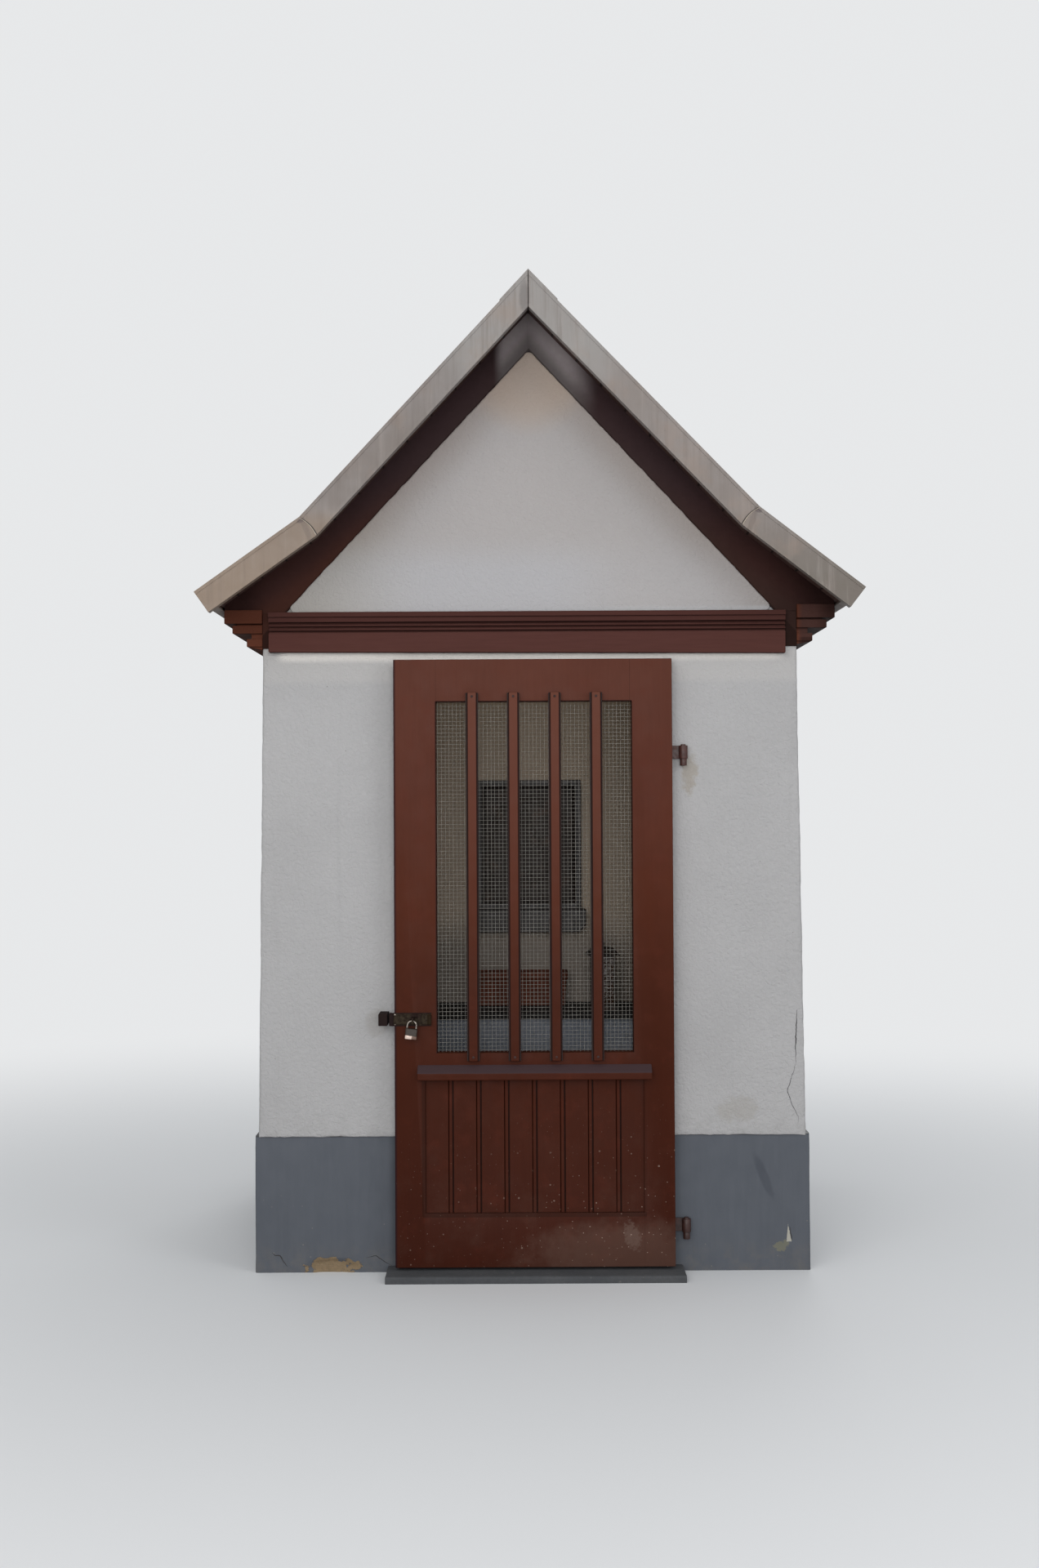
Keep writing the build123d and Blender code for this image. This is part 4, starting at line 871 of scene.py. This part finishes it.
def gable_field():
    """The pale fields on both gables, with a hand-cut edge that laps the boards."""
    whole = welded_copy("gable_render")
    fronts = [f for f in whole.faces if abs(f.normal.y) > 0.9 and abs(f.calc_center_median().y) > 0.68]
    rims = {e for f in fronts for e in f.edges}
    bmesh.ops.bevel(whole, geom=list(rims), offset=0.004, segments=2, affect="EDGES", profile=0.6)
    cut_grid(whole, lambda face: abs(face.calc_center_median().y) > 0.671, (0.014, 0, 0.014))
    whole.normal_update()
    for v in whole.verts:
        p = v.co.copy()
        if abs(p.y) < 0.6705:
            continue
        rim = FIELD_TOP - abs(p.x - FIELD_SHIFT) * FIELD_SLOPE - p.z
        v.co.y += math.copysign(1.0, p.y) * (0.001 * lumps(p, 0.1, 2) + 0.0008 * lumps(p, 0.03, 4))
        if rim < 0.012:
            push = 0.0015 + 0.0016 * lumps(p, 0.045, 6) + 0.0016 * lumps(p, 0.011, 8)
            v.co.x += math.copysign(math.sin(UPPER[-1]) * push, p.x - FIELD_SHIFT)
            v.co.z += math.cos(UPPER[-1]) * push
    return finish_piece(whole, "gable_fields", "building", "render", ("gable_render",), 50)


def chip_depth(p):
    """How deep a foot of the plinth is broken away at a point on its front."""
    depth = 0.0
    for x, z, rx, rz, d in ((-0.645, 0.018, 0.085, 0.026, 0.007), (0.822, 0.112, 0.008, 0.034, 0.003)):
        reach = ((p.x - x) / rx) ** 2 + ((p.z - z) / rz) ** 2 + 0.35 * lumps(p, 0.02, 3)
        depth = max(depth, d * (1 - smooth_step(reach, 0.55, 1.0)))
    return depth


def plinth():
    nodes = ("plinth_front", "plinth_sides", "plinth_back")
    whole = united(nodes)
    round_edges(whole, house_corner, 0.007, 3)
    low = [0.006, 0.012, 0.018, 0.024, 0.03, 0.036, 0.042, 0.05, 0.06, 0.07, 0.08, 0.09, 0.10, 0.11, 0.12]
    levels = low + [0.04 * n for n in range(3, 11)] + [0.14, 0.15, 0.17, 0.18]
    cut_grid(whole, outer_face, (0.0125, 0.04, levels))
    whole.normal_update()
    for v in whole.verts:
        p = v.co.copy()
        out = Vector((v.normal.x, v.normal.y, 0.0))
        if (abs(p.y) < SKIN_Y and abs(p.x) < SKIN_X) or out.length < 0.1:
            continue
        shift = 0.0012 * lumps(p, 0.16, 21) + 0.0003 * lumps(p, 0.03, 22)
        if p.z > 0.43:
            shift -= 0.001
        v.co += out.normalized() * shift
        if p.y < -0.65:
            v.co.y += chip_depth(p)
    return finish_piece(whole, "plinth_painted", "building", "plinth_paint", nodes, 45)


def threshold():
    """The concrete step, with worn arrises."""
    whole = welded_copy("threshold")
    round_edges(whole, lambda e: e.calc_face_angle(0) > 0.6 and max(v.co.z for v in e.verts) > 0.005, 0.003)
    cut_grid(whole, lambda face: True, (0.014, 0.014, 0.007))
    whole.normal_update()
    for v in whole.verts:
        p = v.co.copy()
        if p.y > WALL_Y - 0.001 or p.z < 0.001:
            continue
        wear = smooth_step(-p.y, 0.785, 0.800) * smooth_step(p.z, 0.008, 0.02)
        shift = 0.0006 * lumps(p, 0.03, 31) - 0.0022 * wear * max(0.0, lumps(p, 0.045, 33) + 0.2)
        v.co += v.normal * shift
    return finish_piece(whole, "threshold_worn", "building", "concrete", ("threshold",), 50)


def tube(whole, points, radius, sides=6):
    """A round wire through some points, added to a bmesh."""
    rings = []
    for index, point in enumerate(points):
        ahead = points[min(index + 1, len(points) - 1)] - points[max(index - 1, 0)]
        ahead.normalize()
        side = ahead.cross(Vector((0, 1, 0)))
        if side.length < 0.1:
            side = ahead.cross(Vector((1, 0, 0)))
        side.normalize()
        up = ahead.cross(side)
        rings.append([whole.verts.new(point + radius * (math.cos(t) * side + math.sin(t) * up))
                      for t in turns(sides)])
    skin(whole, rings)


def wire_mesh():
    """Welded galvanised mesh: uprights in front of cross wires, a little uneven by hand."""
    low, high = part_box("wire_mesh")
    whole = bmesh.new()
    pitch, radius = 0.0122, 0.00047
    middle = (low.y + high.y) / 2

    def wander(a, b, c):
        return 0.0008 * noise.noise(Vector((a, b, c)))

    def depth(x, z, off):
        return middle + off + 0.0012 * noise.noise(Vector((x * 5, 3.1, z * 4)))

    for n in range(int((high.x - low.x) / pitch) + 1):
        x = low.x + 0.004 + n * pitch + random.uniform(-0.0005, 0.0005)
        if x > high.x - 0.001:
            break
        tube(whole, [Vector((x + wander(n * 1.3, z * 3, 0), depth(x, z, -radius), z))
                     for z in [low.z + (high.z - low.z) * k / 14 for k in range(15)]], radius)
    for n in range(int((high.z - low.z) / pitch) + 1):
        z = low.z + 0.006 + n * pitch + random.uniform(-0.0005, 0.0005)
        if z > high.z - 0.001:
            break
        tube(whole, [Vector((x, depth(x, z, radius * 0.8), z + wander(n * 1.7, x * 4, 5)))
                     for x in [low.x + (high.x - low.x) * k / 10 for k in range(11)]], radius)
    return finish_piece(whole, "wire_mesh_welded", "door", "wire", ("wire_mesh",), 60)


def dome(whole, centre, radius, height, slot_turn):
    """A low domed screw head that faces -Y, with a slot across it."""
    centre, facing = Vector(centre), Vector((0, -1, 0))
    side = facing.orthogonal().normalized()
    up = facing.cross(side)
    rings = [[whole.verts.new(centre + facing * height * lift + radius * share *
                              (math.cos(a) * side + math.sin(a) * up)) for a in turns(16)]
             for share, lift in ((1.0, 0.0), (0.98, 0.35), (0.8, 0.75), (0.45, 0.95))]
    top = skin(whole, rings, start=False)
    across = facing.cross(math.cos(slot_turn) * side + math.sin(slot_turn) * up)
    middle = centre + facing * height * 0.95
    for normal in (-across, across):
        made = bmesh.ops.bisect_plane(whole, geom=[top] + list(top.edges) + list(top.verts), dist=1e-7,
                                      plane_co=middle + normal * radius * 0.1, plane_no=normal)
        faces = [g for g in made["geom"] if isinstance(g, bmesh.types.BMFace)]
        top = next((f for f in faces if (f.calc_center_median() - middle).dot(normal) < radius * 0.1), top)
    for v in bmesh.ops.extrude_discrete_faces(whole, faces=[top])["faces"][0].verts:
        v.co -= facing * height * 0.4


def bar_screws():
    """A slotted screw near each end of every window bar."""
    low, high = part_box("window_bars")
    whole = bmesh.new()
    for index in range(BAR_COUNT):
        for z in (low.z + 0.013, high.z - 0.013):
            dome(whole, (FIRST_BAR + BAR_PITCH * index, low.y, z), 0.0042, 0.0016, random.uniform(0, 3))
    dark = metal_finish("screw_iron_coat", (46, 24, 20), (56, 30, 25), 0.75, 0.0)
    return finish_piece(whole, "bar_screws", "door", "door_paint", (), 50, dark)


def box_between(whole, corners, near_y, far_y, closed=True):
    """A box from four corners on the XZ plane, between two depths."""
    near, far = ([whole.verts.new((x, y, z)) for x, z in corners] for y in (near_y, far_y))
    sides = [(near[k], far[k], far[(k + 1) % 4], near[(k + 1) % 4]) for k in range(4)]
    for face in [far[::-1]] + sides + ([near] if closed else []):
        whole.faces.new(face)


def bar_shade_strips():
    """Dark strips beside the window bars: painted shade on their rounded sides."""
    low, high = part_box("window_bars")
    foot, head = low.z + 0.0015, high.z - 0.0015
    whole = bmesh.new()
    for index in range(BAR_COUNT):
        middle = FIRST_BAR + BAR_PITCH * index
        for x0, x1 in ((middle - BAR_HALF - 0.0034, middle - BAR_HALF),
                       (middle + BAR_HALF, middle + BAR_HALF + 0.0028)):
            corners = ((x0, foot), (x1, foot), (x1, head), (x0, head))
            box_between(whole, corners, low.y + 0.004, high.y - 0.0005)
    bmesh.ops.recalc_face_normals(whole, faces=whole.faces)
    dark = stone_finish("bar_shade_strip_coat", (36, 18, 13), (28, 13, 10), 0.01, 0.0002, 0.85)
    return finish_piece(whole, "bar_shade_strips", "door", "door_paint", (), 0, dark)


def latch_rivets():
    """The plate's screws: two bright ones at its left end and two dull ones at its right."""
    # The left screws' pale tone is partly the steel's own colour and partly a painted glint
    bright = metal_finish("screw_bright_coat", (172, 160, 150), (136, 124, 112), 0.5, 0.0)
    for name, slot, x, reach, radius, finish in (
            ("latch_screws_left", "padlock_steel", LATCH_LEFT + 0.0175, 0.0145, 0.0034, bright),
            ("latch_screws_right", "latch_bronze", LATCH_RIGHT - 0.018, 0.0155, 0.0036, None)):
        whole = bmesh.new()
        for z in (reach, -reach):
            dome(whole, (x, LATCH_FRONT, LATCH_Z + z), radius, 0.0015, random.uniform(0, 3))
        finish_piece(whole, name, "door", slot, (), 50, finish)


def rounded_section(half_x, half_y, radius, steps=5):
    points = []
    for cx, cy, start in ((1, 1, 0), (-1, 1, 90), (-1, -1, 180), (1, -1, 270)):
        for k in range(steps + 1):
            a = math.radians(start + 90 * k / steps)
            points.append((cx * (half_x - radius) + radius * math.cos(a),
                           cy * (half_y - radius) + radius * math.sin(a)))
    return points


def loft(whole, centre, sections):
    """Joins sections of the same point count, each at its own height above the centre."""
    skin(whole, [[whole.verts.new(centre + Vector((x, y, z))) for x, y in outline]
                 for z, outline in sections])


def padlock():
    """A brass body with eased edges, a groove above its base and collars round the shackle."""
    low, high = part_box("padlock_body")
    middle = (low + high) / 2 + Vector((0.0012, 0.0, 0.0))
    half_x, half_y, height = 0.0185, 0.009, 0.033
    foot = Vector((0.0, 0.0, -height / 2))
    whole = bmesh.new()

    def ring(z, inset):
        return (z, rounded_section(half_x - inset, half_y - inset, 0.0042 - inset * 0.5))

    loft(whole, foot, [ring(0.0, 0.0016), ring(0.0006, 0.0007), ring(0.0016, 0.0), ring(0.0098, 0.0),
                       ring(0.0101, 0.0006), ring(0.0109, 0.0006), ring(0.0112, 0.0),
                       ring(height - 0.0022, 0.0), ring(height - 0.0008, 0.0008), ring(height, 0.0024)])
    outline = [(0.0044 * math.cos(a), 0.0044 * math.sin(a)) for a in turns(20)]
    for side in (-1, 1):
        loft(whole, Vector((side * 0.0142, 0.0, height / 2 - 0.001)),
             [(0.0, outline), (0.002, outline), (0.0026, [(x * 0.86, y * 0.86) for x, y in outline])])
    hang = Matrix.Translation(middle) @ Matrix.Rotation(math.radians(LOCK_LEAN - 2.5), 4, "Y")
    bmesh.ops.transform(whole, matrix=hang, verts=whole.verts)
    return finish_piece(whole, "padlock_case", "padlock", "padlock_brass", ("padlock_body",), 40)


def relief():
    """A carved panel of the builder's own pattern: a leafy branch under a round arch, with rays."""
    low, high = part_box("relief_panel")
    half, height = (high.x - low.x) / 2, high.z - low.z
    columns, rows = 92, 110
    arch_r = half - 0.028
    arch_z = height - 0.052 - arch_r
    stem_foot, stem_height = 0.10, 0.56

    def sway(t):
        return 0.015 * math.sin(t * 5.0)

    leaves = [(sway(t), stem_foot + t * stem_height, side * math.radians(52 - k * 3), 0.088 - k * 0.0055)
              for k, t in enumerate([0.12 + k * 0.125 for k in range(7)]) for side in (-1, 1)]
    leaves.append((sway(1.0), stem_foot + stem_height, 0.0, 0.075))

    def carved(u, v):
        """Height of the carving at u across and v up, both in metres from the middle foot."""
        arch = (math.hypot(u, v - arch_z) if v > arch_z else abs(u)) - arch_r
        rises = [0.007 * (1 - smooth_step(abs(arch), 0.004, 0.011)), 0.005 * smooth_step(arch, 0.016, 0.020)]
        if arch < -0.01:
            far = math.hypot(u, v - 0.30)
            ray = 0.5 + 0.5 * math.cos(26 * math.atan2(u, v - 0.30))
            rises.append(0.0022 * ray * smooth_step(far, 0.07, 0.12) * (1 - smooth_step(far, 0.15, 0.24)))
            if 0.06 < v / height < 0.70:
                off = abs(u - sway((v / height - stem_foot) / stem_height))
                rises.append(0.0075 * (1 - smooth_step(off, 0.002, 0.006)))
            for x, z, turn, length in leaves:
                du, dv = u - x, v - z * height
                t = (du * math.sin(turn) + dv * math.cos(turn)) / length
                across = abs(du * math.cos(turn) - dv * math.sin(turn))
                wide = 0.255 * length * math.sin(math.pi * t ** 0.8) if 0 < t < 1 else 0.0
                if across < wide:
                    vein = 0.0016 * (1 - smooth_step(across, 0.0006, 0.0022))
                    swell = 0.0058 * math.sqrt(1 - across / wide) * math.sin(math.pi * t)
                    rises.append(0.0035 + swell - vein)
            if v < 0.075:
                rises.append(0.006 * smooth_step(0.075 - 16.0 * u * u - v, 0.0, 0.02))
        return max(rises)

    def vertex(row, column):
        u, v = -half + 2 * half * column / columns, height * row / rows
        edge = min(u + half, half - u, v, height - v) < 0.002
        rise = 0.0 if edge else carved(u, v) + 0.0005 * lumps(Vector((u, 0, v)), 0.012, 41)
        return whole.verts.new((low.x + half + u, low.y + 0.0105 - rise, low.z + v))

    whole = bmesh.new()
    grid = [[vertex(row, column) for column in range(columns + 1)] for row in range(rows + 1)]
    for first, second in zip(grid, grid[1:]):
        for k in range(columns):
            whole.faces.new((first[k], first[k + 1], second[k + 1], second[k]))
    made = bmesh.ops.extrude_edge_only(whole, edges=[e for e in whole.edges if e.is_boundary])["geom"]
    for v in made:
        if isinstance(v, bmesh.types.BMVert):
            v.co.y = high.y
    bmesh.ops.contextual_create(whole, geom=[e for e in whole.edges if e.is_boundary])
    return finish_piece(whole, "relief_carving", "building", "relief", ("relief_panel",), 60)


def soil():
    """Loose crumbly soil in the planter."""
    low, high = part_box("planter_soil")
    whole = welded_copy("planter_soil")
    cut_grid(whole, lambda face: face.normal.z > 0.9, (0.006, 0.006, 0))
    for v in whole.verts:
        p = v.co
        inner = all(low[axis] + 0.002 < p[axis] < high[axis] - 0.002 for axis in (0, 1))
        if inner and p.z > high.z - 0.001:
            v.co.z += 0.004 * lumps(p, 0.03, 51) + 0.003 * lumps(p, 0.011, 53)
    return finish_piece(whole, "soil_loose", "building", "soil", ("planter_soil",), 60)


def planter():
    """The terracotta planter with a thick rim and a foot ring."""
    low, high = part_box("planter_box")
    middle = (low + high) / 2
    wide, deep, tall = (high.x - low.x) / 2, (high.y - low.y) / 2, high.z - low.z
    whole = bmesh.new()

    def ring(z, inset):
        return (z, rounded_section(wide - inset, deep - inset, 0.012))

    outer = [ring(0.0, 0.0115), ring(0.003, 0.0095), ring(0.012, 0.0088), ring(0.016, 0.0105),
             ring(tall - 0.030, 0.0050), ring(tall - 0.027, 0.0015), ring(tall - 0.024, 0.0),
             ring(tall - 0.004, 0.0), ring(tall - 0.001, 0.001), ring(tall, 0.003)]
    inner = [ring(tall, 0.0075), ring(tall - 0.002, 0.0090), ring(tall - 0.020, 0.0095), ring(0.012, 0.0170)]
    loft(whole, Vector((middle.x, middle.y, low.z)), outer + inner)
    return finish_piece(whole, "planter_terracotta", "building", "terracotta", ("planter_box",), 40)


def at_depth(side, depth, where):
    """A point of the roof's section, so far below its surface on one side; x is taken as positive."""
    upper, lower = UPPER[side], LOWER[side]
    if where == "ridge":
        return Vector((0.0, 0.0, RIDGE_Z - depth / RIDGE_COS))
    if where == "knee":
        share = depth / (1 + math.cos(upper - lower))
        return Vector((KNEE_X - (math.sin(upper) + math.sin(lower)) * share, 0.0,
                       KNEE_Z[side] - (math.cos(upper) + math.cos(lower)) * share))
    return Vector((EAVE_X - depth * math.sin(lower), 0.0, EAVE_Z[side] - depth * math.cos(lower)))


def verge_hems():
    """Folded hems along the verge boards."""
    whole = bmesh.new()
    for end in (-1, 1):
        for side in (-1, 1):
            for deep, wide in ((0.004, 0.006), (0.068, 0.0098)):
                top, foot = ([at_depth(side, depth, where) for where in ("ridge", "knee", "eave")]
                             for depth in (deep, deep + wide))
                top[0].x = foot[0].x = 0.0012
                for points in zip(top, top[1:], foot[1:], foot):
                    box_between(whole, [(side * p.x, p.z) for p in points],
                                end * (VERGE_Y - 0.002), end * (VERGE_Y + 0.0018))
    bmesh.ops.recalc_face_normals(whole, faces=whole.faces)
    return finish_piece(whole, "verge_hems", "building", "sheet_metal", (), 30)


def verge_laps(name, tone, beside, width, lift):
    """Bowed strips where the verge's sheets lap at the knees, in a painted tone: a dark one for the lap's
    shadow, a pale one for its highlight.
    """
    whole = bmesh.new()
    steps = 8
    for end in (-1, 1):
        for side in (-1, 1):
            top, foot = at_depth(side, 0.004, "knee"), at_depth(side, 0.077, "knee")
            foot += Vector((-0.004, 0.0, 0.003))
            for k in range(steps):
                corners = []
                for step, off in ((k, -width), (k, width), (k + 1, width), (k + 1, -width)):
                    p = top.lerp(foot, step / steps)
                    bend = 0.007 * math.sin(math.pi * step / steps)
                    corners.append((side * (p.x - 0.6 * bend + off + beside), p.z + bend * 0.7))
                box_between(whole, corners, end * (VERGE_Y - 0.001), end * (VERGE_Y + lift), False)
    bmesh.ops.recalc_face_normals(whole, faces=whole.faces)
    finish = stone_finish(name + "_coat", tone, tone, 0.01, 0.0002, 0.7)
    return finish_piece(whole, name, "building", "sheet_metal", (), 30, finish)


def rake_mitres():
    """Paint over the joint where the rake boards meet under the ridge."""
    low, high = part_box("rake_boards")
    whole = bmesh.new()
    for face in (low.y, high.y):
        out = math.copysign(1.0, face)
        points = [(x, face + out * y, z) for z in (FIELD_TOP - 0.006, RIDGE_Z - 0.085)
                  for x, y in ((-0.003, -0.001), (-0.0024, 0.0005), (0.0024, 0.0005), (0.003, -0.001))]
        verts = [whole.verts.new(point) for point in points]
        for a, b, c, d in ((0, 1, 5, 4), (1, 2, 6, 5), (2, 3, 7, 6), (0, 3, 2, 1), (4, 5, 6, 7)):
            whole.faces.new([verts[k] for k in (a, b, c, d)])
    bmesh.ops.recalc_face_normals(whole, faces=whole.faces)
    return finish_piece(whole, "rake_mitres", "building", "trim_paint", (), 30, RAKE_PAINT)


def render_lip():
    """A small ledge of render squeezed out under the cornice's left end."""
    whole = bmesh.new()
    points = [Vector((-0.8438 + 0.0632 * t, WALL_Y - 0.0012, 1.9868 - 0.002 * t + 0.0012 * math.sin(9 * t)))
              for t in [k / 10 for k in range(11)]]
    tube(whole, points, 0.0032, 8)
    return finish_piece(whole, "render_lip", "building", "render", (), 60)


def on_front(surface, x, z, lift):
    """A point just in front of a surface that faces -Y."""
    hit = surface.ray_cast(Vector((x, -1.2, z)), Vector((0, 1, 0)))
    return Vector((x, (hit[0].y if hit[0] else WALL_Y) - lift, z))


def cracks(target, lines, name):
    """Fine dark cracks that follow a wall's face."""
    shape = bmesh.new()
    shape.from_mesh(target.data)
    surface = BVHTree.FromBMesh(shape)
    shape.free()
    whole = bmesh.new()
    for line, width in lines:
        points = []
        for (ax, az), (bx, bz) in zip(line, line[1:]):
            steps = max(2, int(math.hypot(bx - ax, bz - az) / 0.006))
            for k in range(steps):
                t = k / steps
                points.append((ax + (bx - ax) * t + random.uniform(-1, 1) * 0.0012,
                               az + (bz - az) * t + random.uniform(-1, 1) * 0.0008))
        points.append(line[-1])
        previous = None
        for index, (x, z) in enumerate(points):
            behind, ahead = points[max(index - 1, 0)], points[min(index + 1, len(points) - 1)]
            dx, dz = ahead[0] - behind[0], ahead[1] - behind[1]
            length = math.hypot(dx, dz) or 1.0
            t = index / (len(points) - 1)
            half = width * (0.15 + math.sin(math.pi * min(1, t + 0.02)) * random.uniform(0.55, 1.0)) / 2
            off_x, off_z = dz / length * half, -dx / length * half
            pair = [whole.verts.new(on_front(surface, x + s * off_x, z + s * off_z, 0.0004)) for s in (-1, 1)]
            if previous:
                whole.faces.new((*previous, pair[1], pair[0]))
            previous = pair
    bmesh.ops.recalc_face_normals(whole, faces=whole.faces)
    dark = stone_finish(name + "_shadow", (62, 60, 60), (40, 38, 38), 0.004, 0.0004, 0.95)
    return finish_piece(whole, name, "building", "render", (), 0, dark)


wall_piece = walls()
door_frame()
panel()
gable_field()
plinth_piece = plinth()
threshold()
wire_mesh()
bar_screws()
bar_shade_strips()
latch_rivets()
padlock()
relief()
soil()
planter()
verge_hems()
# Painted shadow under the laps at the knees
verge_laps("verge_laps", (54, 45, 42), 0.0, 0.0020, 0.0022)
# Painted highlight beside the laps
verge_laps("verge_lap_highlights", (176, 164, 147), 0.0034, 0.0014, 0.0020)
rake_mitres()
render_lip()
cracks(wall_piece, [
    ([(0.8535, 0.835), (0.8500, 0.790), (0.8475, 0.735), (0.8475, 0.662)], 0.0034),
    ([(0.8475, 0.662), (0.8380, 0.630), (0.8195, 0.576), (0.8350, 0.528), (0.8540, 0.492),
      (0.8530, 0.470)], 0.0020),
], "wall_crack")
cracks(plinth_piece, [
    ([(-0.8375, 0.064), (-0.8270, 0.0549), (-0.8126, 0.0550), (-0.8035, 0.0404), (-0.7878, 0.0194)], 0.0042),
    ([(-0.5355, 0.0458), (-0.5040, 0.0535), (-0.4779, 0.0351), (-0.4500, 0.0193)], 0.0026),
    ([(0.8252, 0.1386), (0.8290, 0.1150), (0.8314, 0.0942)], 0.0034),
], "plinth_cracks")

# Ground, light and camera
PALE = (0.80, 0.81, 0.82, 1.0)


def seen_directly(nodes, links):
    """1 for rays that show the background: from the camera, in a reflection or through glass."""
    path = nodes.new("ShaderNodeLightPath")
    total = path.outputs["Is Camera Ray"]
    for name in ("Is Glossy Ray", "Is Transmission Ray"):
        both = nodes.new("ShaderNodeMath")
        both.operation = "MAXIMUM"
        links.new(total, both.inputs[0])
        links.new(path.outputs[name], both.inputs[1])
        total = both.outputs[0]
    return total


def ground():
    """A pale floor that fades into the backdrop's colour away from the object."""
    mesh = bpy.data.meshes.new("ground")
    size = 60
    corners = [(-size, -size, 0), (size, -size, 0), (size, size, 0), (-size, size, 0)]
    mesh.from_pydata(corners, [], [(0, 1, 2, 3)])
    floor = add_object("ground", mesh)
    f = Finish("pale_floor", 0.95, specular_ior_level=0.1)
    seen = seen_directly(f.nodes, f.links)
    f.coat = f.mix(seen, (0.30, 0.30, 0.31, 1.0), PALE)
    away = f.value("VectorMath", {0: f.place}, "Value", operation="LENGTH")
    backdrop = f.value("Emission", {"Color": PALE, "Strength": 1.0})
    fade = f.span(away, 1.6, 5.5) * seen
    mixed = f.value("MixShader", {0: fade, 1: f.shader.outputs[0], 2: backdrop})
    f.put(f.nodes["Material Output"].inputs["Surface"], mixed)
    f.done()
    mesh.materials.append(f.material)


def sky():
    world = bpy.data.worlds.new("studio")
    scene.world = world
    world.use_nodes = True
    nodes, links = world.node_tree.nodes, world.node_tree.links
    output = nodes["World Output"]
    light, shown = nodes["Background"], nodes.new("ShaderNodeBackground")
    light.inputs["Color"].default_value = (0.96, 0.98, 1.0, 1.0)
    light.inputs["Strength"].default_value = 0.50
    shown.inputs["Color"].default_value = PALE
    shown.inputs["Strength"].default_value = 1.0
    mix = nodes.new("ShaderNodeMixShader")
    links.new(seen_directly(nodes, links), mix.inputs[0])
    links.new(light.outputs[0], mix.inputs[1])
    links.new(shown.outputs[0], mix.inputs[2])
    links.new(mix.outputs[0], output.inputs["Surface"])


def lamp(name, place, target, size, watts, tone=(1, 1, 1)):
    data = bpy.data.lights.new(name, "AREA")
    data.shape, data.size, data.energy, data.color = "DISK", size, watts, tone
    made = add_object(name, data)
    made.location = place
    made.rotation_euler = (Vector(target) - Vector(place)).to_track_quat("-Z", "Y").to_euler()


def camera():
    """The photograph's view: eye height, a little upward, with the picture's slight roll."""
    data = bpy.data.cameras.new("camera")
    data.sensor_width = 36.0
    data.lens = 1977 / 1920 * 36
    made = add_object("camera", data)
    tilt = Matrix.Rotation(math.radians(90 + 0.91), 4, "X") @ Matrix.Rotation(math.radians(-0.31), 4, "Z")
    made.matrix_world = Matrix.Translation((-0.035, -5.870, 1.482)) @ tilt
    scene.camera = made


ground()
sky()
lamp("front", (-0.3, -8.6, 2.0), (0, 0, 1.4), 6.0, 330, (0.99, 0.99, 1.0))
lamp("key", (-2.6, -5.5, 4.6), (0, 0, 1.4), 3.6, 60, (1.0, 0.99, 0.97))
lamp("fill", (4.2, -4.6, 3.2), (0, 0, 1.4), 3.0, 48, (0.97, 0.98, 1.0))
lamp("back", (1.5, 7.5, 3.4), (0, 0, 1.4), 5.0, 200, (0.98, 0.99, 1.0))
lamp("room", (0.0, -0.10, 2.45), (0, 0.1, 0), 0.35, 0.6, (1.0, 0.96, 0.90))
camera()
scene.view_settings.view_transform = "Standard"
